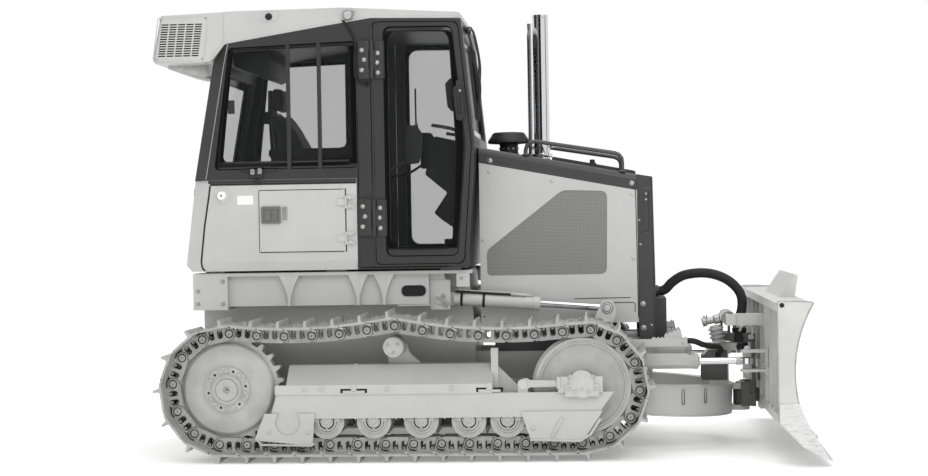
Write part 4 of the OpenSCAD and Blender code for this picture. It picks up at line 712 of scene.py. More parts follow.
# rim of the door's opening, folded outwards
opening = oblong(-895, 1271, -342, 1675, 16)
on_both_sides(joined("service_door_rims", plate("rim", [opening, oblong(-888, 1277, -346, 1669, 12)], 4,
    side_view(SIDE_Y), 1.2)), pale_enamel)
on_both_sides(bolts("service_hinge_bolts", [(-310, SIDE_Y - 12.5, z) for z in (1612, 1560, 1386, 1334)],
    (0, -1, 0), 22, True), pale_enamel)

# paddle latch in its recess, a grey zinc casting, with a striker plate beside it
latch_casting = even("die_cast_zinc_lacquered", "black_plastic", "6F6F6E", 6.0, 0.2, Roughness=0.45,
    Metallic=0.3)


def on_each_side(name, part, material, make):
    """A fitting made for a part of the right-hand side, and its mirror image on the left one."""
    for side in ("right", "left"):
        piece = make()
        piece.name = f"{side}_{name}"
        if side == "left":
            piece.data.transform(ACROSS)
            piece.data.flip_normals()
        settle(piece, material, f"{side}_{part}")


on_each_side("door_latch", "service_door", latch_casting, lambda: joined("latch",
    plate("latch_ring", [oblong(-870, 1458, -746, 1566, 10), oblong(-856, 1472, -760, 1550, 6)], 7,
    side_view(SIDE_Y - 10), 2), plate("latch_floor", [oblong(-858, 1470, -758, 1552, 6)], 2,
    side_view(SIDE_Y - 8.5)), plate("latch_paddle", [oblong(-846, 1480, -812, 1542, 5)], 7,
    side_view(SIDE_Y - 12), 2), plate("latch_lever", [oblong(-806, 1480, -768, 1542, 5)], 4,
    side_view(SIDE_Y - 11), 1.5), *[block("latch_rib", (-804, SIDE_Y - 15, z), (-770, SIDE_Y - 12, z + 4),
    0.8) for z in (1492, 1506, 1520)]))
on_each_side("latch_striker", "service_door", zinc_plate, lambda: plate("striker",
    [oblong(-744, 1474, -706, 1562, 5)], 3, side_view(SIDE_Y - 3.5), 1))

# filler cap on its flange, with a round vent
CAP = (-1117, SIDE_Y, 1638)
cap_parts = [turned("flange", [(0, 2), (44, 2), (48, -1), (49, -5), (42, -8), (34, -9)], CAP, (0, 1, 0), 40),
    turned("cap", [(0, -30), (20, -30), (26, -27), (28, -21), (28, -8), (33, -6)], CAP, (0, 1, 0), 32)]
on_both_sides(joined("filler_flanges", cap_parts[0]), pale_enamel)
on_both_sides(joined("filler_caps", cap_parts[1]), bare_plate)
on_both_sides(bar("filler_vent", (-1117, SIDE_Y - 29, 1638), (-1117, SIDE_Y - 31, 1638), 6, 14, 0),
    rubber_and_shade_black)
on_both_sides(plate("blank_plate", [oblong(-1022, 1579, -920, 1636, 4)], 1.6, side_view(SIDE_Y - 1.2), 0.5),
    bare_plate)

# -------------------------------------------------------------------- cab
# Welded tube and sheet frame in dark enamel. Its panes are tinted safety
# glass, bonded in, with a black printed border that hides the adhesive.
dress(cab_enamel, "cab_frame", *both("door"))
tinted_glass = even("tinted_safety_glass", None, "303131", 500.0, 0.01, Roughness=0.03, Alpha=0.2,
    Specular_IOR_Level=0.6)
dress(tinted_glass, "cab_glass", *both("door_glass"))
printed_black = even("printed_black_glass_border", "black_plastic", "121212", 300.0, 0.01, Roughness=0.12)
side_pane = rounded([(-1062, 2562), (-262, 2588), (-262, 1797), (-1165, 1797)], 26)
side_clear = rounded([(-1038, 2536), (-311, 2560), (-311, 1850), (-1112, 1850)], 30)
side_border = plate("side_window_border", [side_pane, side_clear], 3, side_view(-638), 0.6)


def end_border(name, outer, hole_shade_plate, foot, head, step):
    """The border of a leaning front or rear pane, a step in front of the glass."""
    made = plate(name, [outer, hole_shade_plate], 3, front_view(foot[0]))
    lean = (head[0] - foot[0]) / (head[1] - foot[1])
    made.data.transform(Matrix.Translation(Vector(((step - lean * foot[1]) / 1000, 0, 0))) @ Matrix(((1, 0,
        lean, 0), (0, 1, 0, 0), (0, 0, 1, 0), (0, 0, 0, 1))))
    return made


front_ring = end_border("windshield_border", oblong(-540, 1990, 540, 2613, 40),
    oblong(-496, 2034, 496, 2570, 36), (449.5, 1937), (374.5, 2713), 5)
rear_ring = end_border("rear_window_border", oblong(-500, 1820, 500, 2412, 40),
    oblong(-452, 1866, 452, 2366, 36), (-1278, 1734), (-1147, 2482), -5)
quarter = end_border("quarter_border", oblong(-600, 1270, -440, 1880, 25), oblong(-574, 1300, -466, 1852, 18),
    (394.5, 1164), (449.5, 1937), 5)
settle(joined("pane_borders", *copies(side_border, (AS_IS, ACROSS)), front_ring, rear_ring,
    *copies(quarter, (AS_IS, ACROSS))), printed_black)

# dark folded strips beside the door post, the sill's lip, and the seam down the rear corner
post_parts = [block("post_strip", (-258, SIDE_Y - 2, 1172), (-253, SIDE_Y + 1, 2340), 0.8),
    block("post_strip", (-172, SIDE_Y - 2, 1172), (-166, SIDE_Y + 1, 2690), 0.8),
    block("sill_lip", (-255, SIDE_Y - 5, 1164), (392, SIDE_Y + 1, 1180), 2)]
on_both_sides(joined("post_strips", *post_parts), printed_black)
corner_seam = beads("corner_seams", 3, [(-1217, SIDE_Y, 1742), (-1154, SIDE_Y, 2100), (-1093, SIDE_Y, 2452),
    (-1064, SIDE_Y, 2590)])
on_both_sides(corner_seam, zinc_plate)

# hinges of the doors: a leaf on the post, a leaf on the door, three bolts in each
upper_bolts = [(-218, 2526), (-205, 2466), (-220, 2402)], [(-121, 2507), (-125, 2448), (-121, 2385)]
lower_bolts = [(-228, 1556), (-215, 1493), (-230, 1430)], [(-121, 1545), (-125, 1484), (-121, 1420)]
post_leaves = [plate("leaf", [oblong(-241, 2348, -177, 2583, 10)], 8, side_view(SIDE_Y - 24), 2),
    plate("leaf", [oblong(-252, 1376, -177, 1601, 10)], 8, side_view(SIDE_Y - 24), 2)]
on_both_sides(joined("hinge_leaves_post", *post_leaves), cab_enamel)
on_both_sides(bolts("hinge_bolts_post", [(x, SIDE_Y - 28, z) for x, z in upper_bolts[0] + lower_bolts[0]],
    (0, -1, 0), 24, True), zinc_plate)


on_each_side("hinge_leaves", "door", cab_enamel, lambda: joined("leaves",
    *[plate("leaf", [oblong(-141, z0, -90, z1, 8)], 7, side_view(SIDE_Y - 15), 2) for z0,
    z1 in ((2350, 2581), (1374, 1593))]))
on_each_side("hinge_bolts", "door", zinc_plate, lambda: bolts("bolts",
    [(x, SIDE_Y - 18, z) for x, z in upper_bolts[1] + lower_bolts[1]], (0, -1, 0), 24, True))
door_pane = rounded([(-90, 1240), (362, 1240), (417, 1937), (343, 2669), (-90, 2673)], 46)
door_clear = rounded([(-60, 1303), (322, 1303), (352, 1937), (318, 2634), (-60, 2640)], 60)
on_each_side("glass_border", "door", printed_black, lambda: plate("border", [door_pane, door_clear], 3,
    side_view(-643), 0.6))
# handle pod: a moulded escutcheon, its pull recess, and the lock behind the glass
pod = rounded([(346, 2284), (374, 2298), (405, 2285), (414, 2103), (393, 2077), (364, 2081), (350, 2200)], 12)
on_each_side("handle_pod", "door", moulded_black, lambda: joined("pod",
    plate("pod", [pod, oblong(368, 2112, 390, 2228, 9)], 20, side_view(SIDE_Y - 14), 4),
    plate("pod", [oblong(372, 2108, 386, 2190, 6)], 9, side_view(SIDE_Y - 17), 2),
    plate("lock", [rounded([(292, 2310), (323, 2344), (368, 2339), (376, 2150), (331, 2137), (305, 2167)],
    8)], 14, side_view(-624), 3)))
on_each_side("handle_bolt", "door", zinc_plate, lambda: bolts("bolt", [(388, SIDE_Y - 24, 2262)], (0, -1, 0),
    13, True))

# catch under the side window and its pivot; catches on the rear posts
catch = [block("catch", (-993, SIDE_Y - 6, 1780), (-775, SIDE_Y + 1, 1800), 4),
    block("catch", (-945, SIDE_Y - 16, 1744), (-850, SIDE_Y - 4, 1790), 8),
    turned("pivot", [(0, -12), (12, -12), (17, -8), (18, 0)], (-897, SIDE_Y - 4, 1718), (0, 1, 0), 24),
    block("catch", (-1077, -640, 2151), (-1036, -612, 2236), 5)]
on_both_sides(joined("window_catches", *catch), moulded_black)
bright = [plate("clip", [oblong(-932, 1767, -906, 1800, 6)], 5, side_view(SIDE_Y - 18), 1.5),
    plate("clip", [oblong(-886, 1770, -860, 1804, 6)], 5, side_view(SIDE_Y - 18), 1.5)]
on_both_sides(joined("catch_clips", *bright), zinc_plate)

# rigid conduit of the work lamp's lead, clipped beside the hinge
on_both_sides(joined("lamp_conduit", tube("conduit", smooth_route([(-339, SIDE_Y + 2, 2716),
    (-301, SIDE_Y - 8, 2668), (-276, SIDE_Y - 9, 2615), (-262, SIDE_Y - 9, 2562), (-266, SIDE_Y - 9, 2464),
    (-264, SIDE_Y - 9, 2372), (-246, SIDE_Y - 9, 2332), (-216, SIDE_Y - 8, 2318), (-184, SIDE_Y + 4, 2316)]),
    7, 3), turned("grommet", [(8, -12), (14, -10), (16, 2)], (-192, SIDE_Y, 2317), (0, 1, 0), 20)),
    rubber_and_shade_black)

# front wipers on their motors' bosses, with their linkage and blades
wipers = []
for y in (-450, -300):
    wipers += [bar("boss", (392, y, 2672), (436, y, 2660), 17, 20, 3),
        tube("arm", smooth_route([(424, y, 2666), (455, y, 2660), (492, y, 2470), (490, y, 2330)]), 5, 2),
        tube("arm", smooth_route([(424, y, 2650), (446, y, 2560), (490, y, 2330)]), 4, 2),
        tube("holder", smooth_route([(434, y, 2560), (462, y, 2440), (492, y, 2330), (486, y, 2190),
        (478, y, 2092)]), 5, 2), plate("blade", [[(420, 2548), (429, 2550), (476, 2092), (466, 2090)]], 10,
        side_view(y), 1)]
settle(joined("windshield_wipers", *wipers), moulded_black)

# ------------------------------------------------- roof and climate unit
# Roof and unit are moulded shells in body colour. The unit's side slots lie
# over a dark filter mat, and a cage of bars guards its underside.
dress(pale_enamel, "cab_roof", "climate_unit")
ROOF_Y = -652
on_both_sides(beads("roof_lips", 6, [(-1172, ROOF_Y, 2490), (-1088, ROOF_Y, 2590), (-482, ROOF_Y, 2686),
    (-341, ROOF_Y, 2706), (-165, ROOF_Y, 2731), (360, ROOF_Y, 2719)]), pale_enamel)
on_both_sides(plate("lamp_recess_edges", [[(-372, 2790), (-348, 2794), (-322, 2706), (-346, 2702)]], 3,
    side_view(ROOF_Y - 0.5), 1), pale_enamel)
panel = rounded([(-1506, 2762), (-1203, 2766), (-1190, 2750), (-1224, 2486), (-1540, 2484), (-1542, 2510)],
    12)
panel_bead = tube("louvre_panel_bead", [at(x, -647, z) for x, z in panel], 3.5, 2, True)
on_both_sides(panel_bead, pale_enamel)
filter_mat = plate("filter_mat", [[(-1524, 2508), (-1238, 2508), (-1214, 2742), (-1500, 2742)]], 3,
    side_view(-626))
on_both_sides(filter_mat, rubber_and_shade_black)
screws = [(-1520, -647, 2500), (-1232, -647, 2500), (-1206, -647, 2752), (-1494, -647, 2748)]
on_both_sides(bolts("louvre_screws", screws, (0, -1, 0), 9, True), zinc_plate)
cage = [plate("cage", [[(-1500, 2478), (-1236, 2478), (-1232, 2404), (-1262, 2400), (-1490, 2458)]], 6,
    side_view(y), 1) for y in (-440, 440)]
cage += [bar("cage_bar", (x, -440, z), (x, 440, z), 5, 8, 0) for x, z in [(-1490 + 32.5 * k,
    2460 - 8.2 * k) for k in range(8)]]
cage += [bar("cage_bar", (-1490, y, 2461), (-1250, y, 2401), 4, 8, 0) for y in range(-360, 361, 80)]
settle(joined("underside_cage", *cage), cast("galvanised_wire", "edge_steel", "A9A9A6", "BDBDBA", 40, 0.4,
    0.5))

# round lamp with its bracket, and a rubber marker on an oval boss
clear_lens = even("moulded_polycarbonate_lens", "chrome", "AFB1B0", 20.0, 0.3, Roughness=0.08,
    Coat_Weight=0.6)
LAMP = (-304, ROOF_Y, 2748)
on_both_sides(joined("work_lamp_shells", turned("shell", [(33, -4), (34, -27), (31, -32), (26, -32),
    (25, -28)], LAMP, (0, 1, 0), 36), tube("bracket", smooth_route([(-322, ROOF_Y - 4, 2726),
    (-340, ROOF_Y - 6, 2716), (-344, ROOF_Y + 4, 2700)]), 5, 2), block("bracket", (-280, ROOF_Y - 22, 2762),
    (-262, ROOF_Y + 2, 2782), 4)), zinc_plate)
on_both_sides(turned("work_lamp_lenses", [(0, -33), (14, -32), (26, -29)], LAMP, (0, 1, 0), 32), clear_lens)
on_both_sides(plate("marker_boss", [oblong(-847, 2722, -744, 2780, 27, 8)], 8, side_view(ROOF_Y - 3), 3),
    pale_enamel)
on_both_sides(turned("roof_marker", [(0, -24), (12, -23), (19, -19), (22, -10), (23, 0)],
    (-803, ROOF_Y, 2751), (0, 1, 0), 32), rubber_and_shade_black)

# ------------------------------------------- backs of the body and the unit
# The shell's back has a bolted access panel between flush tail lamps; the
# climate unit's has a pressed intake grille. Zinc-plated pads ring the winch
# holes in the hull, and pressed ribs stiffen the roof.
BACK = (-1372, 1202, math.atan(66 / 532))                   # foot of the shell's back, and how it leans
UNIT_BACK = (-1548, 2502, math.atan(56 / 271))


def leaning(foot, out=0.0):
    """Turns a flat shape so that it lies against a leaning back: to the left, and up from its foot."""
    x, z, lean = foot
    return (Matrix.Translation(at(x, 0, z)) @ Matrix.Rotation(lean, 4,
        "Y") @ Matrix(((0, 0, 1, -out / 1000), (1, 0, 0, 0), (0, 1, 0, 0), (0, 0, 0, 1))))


def off_back(foot, y, up, out):
    """A place off a leaning back."""
    x, z, lean = foot
    return (x + up * math.sin(lean) - out * math.cos(lean), y, z + up * math.cos(lean) + out * math.sin(lean))


access = [plate("access_panel", [oblong(-410, 50, 410, 400, 24)], 4, leaning(BACK, 1), 1.5),
    plate("pull", [oblong(-70, 350, 70, 374, 10)], 8, leaning(BACK, 5), 2.5)]
settle(joined("rear_access_panel", *access), pale_enamel)
rim_out, rim_in = oblong(-414, 46, 414, 404, 26), oblong(-410, 50, 410, 400, 24)
settle(plate("rear_panel_seam", [rim_out, rim_in], 2, leaning(BACK, 1)), rubber_and_shade_black)
out_of_back = (-math.cos(BACK[2]), 0, math.sin(BACK[2]))
settle(bolts("rear_panel_bolts", [off_back(BACK, y, up, 3) for y in (-385, -130, 130, 385) for up in (74,
    376)], out_of_back, 20, True), zinc_plate)
on_both_sides(plate("tail_lamp_shells", [oblong(-548, 440, -440, 496, 14)], 6, leaning(BACK, 1), 2),
    moulded_black)
on_both_sides(plate("tail_lamp_lenses", [oblong(-540, 448, -448, 488, 10)], 4, leaning(BACK, 4), 1.5),
    clear_lens)
slats = [plate("slat", [oblong(-400, 40 + 22 * k, 400, 50 + 22 * k, 4, 3)], 6, leaning(UNIT_BACK, 2),
    2) for k in range(8)]
slats.append(plate("frame", [oblong(-432, 18, 432, 226, 18), oblong(-414, 30, 414, 214, 12)], 7,
    leaning(UNIT_BACK, 2), 2))
settle(joined("intake_grille", *slats), pale_enamel)
settle(plate("intake_mesh", [oblong(-414, 30, 414, 214, 12)], 2, leaning(UNIT_BACK, 0.5)), rubber_and_shade_black)
settle(joined("winch_pads", *[turned("pad", [(13, 3), (13, -3), (30, -3), (33, 1)], (-1300, y, z), (1, 0, 0),
    32) for y in (-300, 300) for z in (560, 860)]), zinc_plate)
ribs = [plate("rib", [line], 46, side_view(y), 3) for y in (-420, -140, 140,
    420) for line in ([(-1050, 2785), (-370, 2791), (-372, 2800), (-1046, 2793.5)],
    [(-310, 2788), (330, 2750), (328, 2759), (-306, 2797.5)])]
settle(joined("roof_ribs", *ribs), pale_enamel)

# --------------------------------------------------------------- interior
# Suspension seat with cloth cushions over moulded shells, armrests, a moulded
# console with its levers, a climate box under the roof and steel grab handles.
dress(moulded_black, "seat_base", "dash_console")


def crossed(tree, place, scale, axes):
    """Two sets of threads or wires, which run square to each other."""
    product = add_node(tree, "Math", {"operation": "MULTIPLY"})
    for axis, factor in zip(axes, product.inputs):
        lines = add_node(tree, "TexWave", {"Scale": scale, "bands_direction": axis}, {"Vector": place})
        tree.links.new(lines.outputs["Fac"], factor)
    return product.outputs["Value"]


seat_cloth, tree, shader = start_material("woven_polyester_seat_cloth", "seat_fabric", "2B2B2B",
    Roughness=0.9, Sheen_Weight=0.35, Sheen_Roughness=0.5)
place = add_node(tree, "TexCoord").outputs["Object"]
# warp and weft, in truth under 1 mm apart, drawn 6 mm apart so that they show
weave = crossed(tree, place, 52.0, "ZY")
relief(tree, shader, weave, 0.3, 0.0015)
wear = add_node(tree, "TexNoise", {"Scale": 9.0, "Detail": 4.0}, {"Vector": place})
two_tones(tree, shader, wear.outputs["Fac"], "262626", "343434")


def cushion(name, outline, half_width, cap, soft):
    """A cloth cushion: its profile swells under pressure, held to a cap in metres from where it started."""
    made = plate(name, [outline], 2 * half_width, side_view(0), soft)
    remesh = made.modifiers.new("remesh", "REMESH")
    remesh.mode = "VOXEL"
    remesh.voxel_size = 0.006
    bpy.ops.object.modifier_apply(modifier="remesh")
    start = [v.co.copy() for v in made.data.vertices]
    cloth = made.modifiers.new("cloth", "CLOTH")
    cloth.settings.use_pressure = True
    cloth.settings.uniform_pressure_force = 4.0
    cloth.settings.effector_weights.gravity = 0.0
    cloth.settings.tension_stiffness = cloth.settings.compression_stiffness = 25.0
    cloth.settings.bending_stiffness = 2.0
    scene = bpy.context.scene
    for number in range(1, 21):
        scene.frame_set(number)
    bpy.ops.object.modifier_apply(modifier="cloth")
    scene.frame_set(1)
    for vertex, first in zip(made.data.vertices, start):
        step = vertex.co - first
        if step.length > cap:
            vertex.co = first + step * (cap / step.length)
    smooth = made.modifiers.new("smooth", "SMOOTH")
    smooth.iterations = 4
    bpy.ops.object.modifier_apply(modifier="smooth")
    return made


cushions = [("seat_cushion", [(-832, 1612), (-336, 1612), (-330, 1722), (-640, 1732), (-832, 1722)], 236, 26),
    ("back_cushion", [(-858, 1758), (-668, 1770), (-676, 1938), (-750, 2074), (-816, 2168), (-880, 2168)],
    222, 16), ("headrest", [(-882, 2200), (-824, 2200), (-816, 2332), (-884, 2338)], 116, 22)]
for name, outline, half_width, soft in cushions:
    pad = settle(cushion(name, rounded(outline, soft), half_width, 0.012, 6), seat_cloth, "chassis", 80)
    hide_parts("seat_cushions")
# piping sewn round the cushions' edges
piping = [tube("piping", [at(x, y, z) for x, z in rounded(cushions[k][1], cushions[k][3])], 4, 2,
    True) for k in (0, 1, 2) for y in (-cushions[k][2] + 14, cushions[k][2] - 14)]
settle(joined("cushion_piping", *piping), seat_cloth, "chassis", 60)

# levers with their knobs and boots, armrest and display pods, the climate box and the ledge behind the seat
levers = [tube("lever", smooth_route([(-360, y, 1930), (-352, y, 1990), (-340, y, 2040)]), 9,
    3) for y in (-306, 306)]
knobs = [turned("knob", [(0, 72), (16, 70), (24, 56), (26, 30), (20, 4), (11, 0), (0, 0)], (-345, y, 2020),
    (0.2, 0, 1), 28) for y in (-306, 306)]
boots = [turned("boot", [(34, 0), (33, 10), (24, 14), (25, 22), (16, 26), (17, 34), (10, 38)],
    (-362, y, 1936), (0.1, 0, 1), 28) for y in (-306, 306)]
pods = [block("armrest_pod", (-420, -352, 1880), (-318, -262, 1942), 12, 3),
    block("armrest_pod", (-420, 262, 1880), (-318, 352, 1942), 12, 3)]
screen_pod = plate("display_pod", [rounded([(186, 2006), (366, 1964), (366, 1940), (184, 1985)], 8)], 420,
    side_view(0), 4)
climate_box = plate("climate_box", [rounded([(-1074, 2570), (-1076, 2466), (-890, 2394), (-860, 2412),
    (-838, 2500), (-850, 2594)], 18)], 700, side_view(-60), 8)
rear_ledge = block("rear_ledge", (-1210, -600, 1736), (-900, 600, 1842), 14, 3)
settle(joined("cab_fittings", *levers, *knobs, *boots, *pods, screen_pod, climate_box, rear_ledge),
    moulded_black)
handles = [tube("grab_handle", smooth_route([(197, y, 2057), (231, y, 2053), (322, y, 2034), (362, y, 2010),
    (380, y, 1970), (386, y, 1944), (428, y, 1930)]), 11, 4) for y in (-560, 560)]
settle(joined("grab_handles", *handles), dark_enamel)
# inside mirrors in moulded shells, on arms from the door posts
shells = []
for way in (-1, 1):
    shell = plate("mirror_shell", [rounded([(25, 1815), (110, 1825), (128, 1905), (131, 2012), (98, 2062),
        (27, 2063)], 16)], 46, side_view(way * 500), 10)
    shells += [shell, tube("mirror_arm", smooth_route([(40, way * 500, 1850), (-40, way * 520, 1800),
        (-120, way * 585, 1778), (-190, way * 622, 1776)]), 9, 3)]
settle(joined("mirror_pods", *shells), moulded_black)
# wiper of the left door, parked upright inside its glass
settle(joined("door_wiper", tube("arm", smooth_route([(-14, 604, 2100), (-16, 606, 2230), (-16, 606, 2374)]),
    6, 2), block("holder", (-24, 598, 2090), (-2, 614, 2130), 4)), moulded_black, "left_door")
# the rubber mat on the floor
settle(joined("cab_lining", block("mat", (-900, -350, 1208), (360, 350, 1216), 3)), rubber_and_shade_black)

# ------------------------------------------------ hood, screens and guard
# Pressed hood in dark enamel over pale side panels, whose windows hold woven
# steel screens. The radiator guard in front is a welded dark box.
dress(dark_enamel, "hood_top", "radiator_guard")
dress(pale_enamel, "hood_sides")
HOOD_Y = -405


def hood_z(x):
    return 1922 - (x - 480) * 190 / 995


screen_mesh, tree, shader = start_material("woven_wire_screen_painted", None, "8E8E8D", Roughness=0.6,
    Metallic=0.2, Alpha=0.8)
place = add_node(tree, "TexCoord").outputs["Object"]
# wires, in truth 3 mm apart, drawn 9 mm apart so that they show
wires = crossed(tree, place, 35.0, "ZX")
two_tones(tree, shader, wires, "7E7E7D", "A2A2A0", 0.1, 0.7)
relief(tree, shader, wires, 0.4, 0.002)
dress(screen_mesh, "side_screens")
# the engine's ancillaries, faint behind the screens: filter, pipes and fittings
ancillaries = [turned("filter", [(0, 0), (30, 0), (38, 8), (38, 250), (30, 262), (0, 262)],
    (1060, -330, 1130), (0, 0, 1), 24), tube("pipe", smooth_route([(700, -330, 1120), (760, -340, 1220),
    (820, -330, 1330), (900, -330, 1400), (1010, -330, 1440)]), 9, 2),
    tube("pipe", smooth_route([(1190, -330, 1110), (1186, -335, 1300), (1196, -330, 1520)]), 14, 2),
    tube("pipe", smooth_route([(1230, -335, 1110), (1226, -330, 1560)]), 8, 2),
    tube("pipe", smooth_route([(640, -335, 1300), (760, -335, 1330), (800, -340, 1410)]), 6, 2)]
ancillaries += [block("fitting", (x, -352, z), (x + 34, -300, z + 52), 5) for x,
    z in ((640, 1260), (676, 1266), (812, 1280), (880, 1276))]
on_both_sides(joined("engine_ancillaries", *ancillaries), pale_enamel)
dress(dark_enamel, "engine_block")

# seams of the side panels: rounded front edge, the lower slot and its corner
seams = [tube("seam", [at(x, HOOD_Y, z) for x, z in route], 2.5, 2) for route in ([(1440, 1652), (1458, 1644),
    (1466, 1622), (1470, 1200), (1472, 830)], [(1071, 953), (1250, 955), (1425, 956)],
    [(1306, 925), (1440, 925), (1452, 918), (1452, 866)])]
seams.append(turned("dot", [(0, -2), (5, -1), (6, 1)], (499, HOOD_Y, 846), (0, 1, 0), 14))
on_both_sides(joined("hood_seams", *seams), rubber_and_shade_black)
on_both_sides(bolts("hood_side_bolts", [(x, HOOD_Y, z) for x, z in ((545, 1764), (941, 1700), (1444, 1608),
    (502, 1332), (1446, 1205))], (0, -1, 0), 21, True), pale_enamel)
guard_bolts = [(552, 1835), (1443, 1677), (1502, 916), (1504, 766)]
on_both_sides(bolts("guard_bolts", [(x, HOOD_Y, z) for x, z in guard_bolts], (0, -1, 0), 27, True),
    zinc_plate)
on_both_sides(bolts("guard_screws", [(x, HOOD_Y, z) for x, z in ((1486, 1444), (1492, 1291), (1531, 1608),
    (1530, 1573), (1554, 781))], (0, -1, 0), 12, True), zinc_plate)
# hood's edge trim, the rim of the guard's slot, and the guard's flanges
trim = [tube("trim", [at(482, HOOD_Y + 2, hood_z(482) - 98), at(1472, HOOD_Y + 2, hood_z(1472) - 98)], 3, 2),
    plate("slot_rim", [oblong(1494, 1352, 1563, 1650, 30, 8), oblong(1506, 1366, 1551, 1636, 22, 8)], 8,
    side_view(HOOD_Y + 1), 3), tube("flange", [at(1577, HOOD_Y - 1, 706), at(1578, HOOD_Y - 1, 1000),
    at(1568, HOOD_Y - 1, 1712)], 5, 2), tube("flange", [at(1478, HOOD_Y - 1, 706),
    at(1478, HOOD_Y - 1, 1728)], 3, 2)]
on_both_sides(joined("hood_trim", *trim), dark_enamel)
latch = [block("latch", (1172, -300, 1800), (1222, -262, 1812), 2), block("latch", (1180, -296, 1808),
    (1214, -266, 1834), 6)]
latch += [bar("latch", (x, -302, 1824), (x, -296, 1824), 5, 12, 0) for x in (1188, 1206)]
on_both_sides(joined("hood_latches", *latch), moulded_black)
ridges = [plate("ridge", [[(950, hood_z(950) + 19), (1462, hood_z(1462) + 19), (1462, hood_z(1462) + 24),
    (950, hood_z(950) + 24)]], 6, side_view(y), 1) for y in range(-280, 281, 80)]
settle(joined("hood_top_ridges", *ridges), dark_enamel)
# bars of the radiator guard's front, rolled flats welded across its opening
grille = [block("guard_bar", (1560, -330, 1046 + 62 * k), (1580 - 1.0 * k, 330, 1060 + 62 * k),
    3) for k in range(9)]
grille += [block("guard_post", (1556, y - 8, 1000), (1574, y + 8, 1600), 3) for y in (-160, 0, 160)]
settle(joined("guard_bars", *grille), dark_enamel)

# ------------------------------------- exhaust, pre-cleaner and hood rails
# Chromed stack with a slimmer breather pipe behind it, each in a clamp; a
# moulded pre-cleaner on its ribbed neck; and two bent tubes as hand rails.
chrome_plate = even("hard_chrome", "chrome", "D6D6D8", 60.0, 0.02, Metallic=1.0, Roughness=0.07)
dress(chrome_plate, "exhaust_stack")
dress(dark_enamel, "hood_rails")
STACK = (870, 0, 0)
collars = [turned("collar", [(52, 1862), (66, 1862), (68, 1866), (68, 1882), (58, 1888), (53, 1888)], STACK,
    (0, 0, 1)), turned("collar", [(52.5, 1922), (56, 1923), (56, 1941), (52.5, 1942)], STACK, (0, 0, 1)),
    turned("collar", [(52.5, 2770), (54, 2772), (54, 2789), (50, 2789.5), (47, 2786)], STACK, (0, 0, 1)),
    turned("collar", [(16, 1866), (28, 1866), (28, 1884), (17, 1888)], (795, 80, 0), (0, 0, 1), 24),
    block("lug", (925, -16, 1924), (948, -8, 1940), 2), block("lug", (925, 8, 1924), (948, 16, 1940), 2),
    bar("lug", (938, -34, 1932), (938, 34, 1932), 4, 10, 1), bar("strap", (830, 40, 1930), (800, 74, 1930), 6,
    10, 1)]
settle(joined("stack_clamps", *collars), chrome_plate)

CLEANER_X = 653
CLEANER = (CLEANER_X, 0, 0)
NECK_R = 61
cleaner = [turned("cleaner", [(0, 2031), (60, 2030.5), (96, 2028), (108, 2018), (114, 2006), (120, 1998),
    (134, 1978), (137, 1970), (137, 1962), (128, 1957), (100, 1955), (66, 1953), (60, 1948), (60, 1898),
    (64, 1894), (64, 1888)], CLEANER, (0, 0, 1), 56)]
settle(joined("precleaner_shell", *cleaner), moulded_black)
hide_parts("air_precleaner")
neck = [(CLEANER_X + NECK_R * math.cos(math.radians(g)), NECK_R * math.sin(math.radians(g)),
    1923) for g in range(0, 360, 30)]
heads = [bar("head", (CLEANER_X + (x - CLEANER_X) * 0.94, y * 0.94, z),
    (CLEANER_X + (x - CLEANER_X) * 1.06, y * 1.06, z), 6, 10, 0) for x, y, z in neck]
settle(joined("neck_bolts", *heads), zinc_plate)
feet = [turned("foot", [(13, 12), (18, 8), (24, 2), (24, -2)], (x, y, hood_z(x) + 2), (0, 0, 1),
    24) for x in (777, 1385) for y in (-375, 375)]
settle(joined("rail_feet", *feet), dark_enamel)

# --------------------------------------------- push frame and its covers
# C-shaped frame welded from plate, hinged on the hull's trunnions. It carries
# the angle cylinders, their serrated cover and the tower for the blade.
dress(pale_enamel, "push_frame")
# dark grey that stands for the shade deep under the push frame: painted shade on the blade's swivel, the
# tower's and socket's cheeks and the nose's weld slots
shade_grey = enamel("painted_shade_grey", "body_paint", "4C4C4B", "5A5A58", 0.6)
dress(shade_grey, "blade_swivel")
ARM_Y = -538
TRUNNION_X = 500
SLOPE = Matrix.Translation(at(TRUNNION_X, 0, 385)) @ Matrix.Rotation(math.radians(3.6), 4, "Y")
NOSE = 1042                                                 # middle of the nose's arc, ahead of the trunnion


def on_frame(piece):
    """Places a piece made in the push frame's own slope, counted from its trunnion."""
    piece.data.transform(SLOPE @ Matrix.Translation(Vector((SETBACK / 1000, 0, 0))))
    return piece


# lips of the nose's top and bottom plates, and its weld slots, drawn dark grey as painted shade
arc_out = [(NOSE + 543 * math.cos(math.radians(g)), 543 * math.sin(math.radians(g))) for g in range(-90, 91,
    5)]
arc_in = [(NOSE + 533 * math.cos(math.radians(g)), 533 * math.sin(math.radians(g))) for g in range(90, -91,
    -5)]
lips = []
for z in (88, -92):
    lip = plate("nose_lip", [arc_out + arc_in], 9, Matrix.Translation(Vector((0, 0, z / 1000))), 2)
    lips.append(on_frame(lip))
for x in (1741, 1884):
    turn = math.asin((x - TRUNNION_X - NOSE) / 540)
    for way in (-1, 1):
        slot = plate("weld_slot", [[(u, v - 334) for u, v in oblong(-11, 285, 11, 383, 11)],
            [(u, v - 334) for u, v in oblong(-6, 290, 6, 378, 6)]], 5, front_view(SETBACK + 538))
        slot.data.transform(Matrix.Translation(at(TRUNNION_X + NOSE, 0, 334)) @
            Matrix.Rotation(way * (math.pi / 2 - turn), 4, "Z"))
        lips.append(slot)
settle(joined("nose_lips", *lips[:2]), pale_enamel, "push_frame")
settle(joined("nose_weld_slots_painted_shade", *lips[2:]), shade_grey, "push_frame")

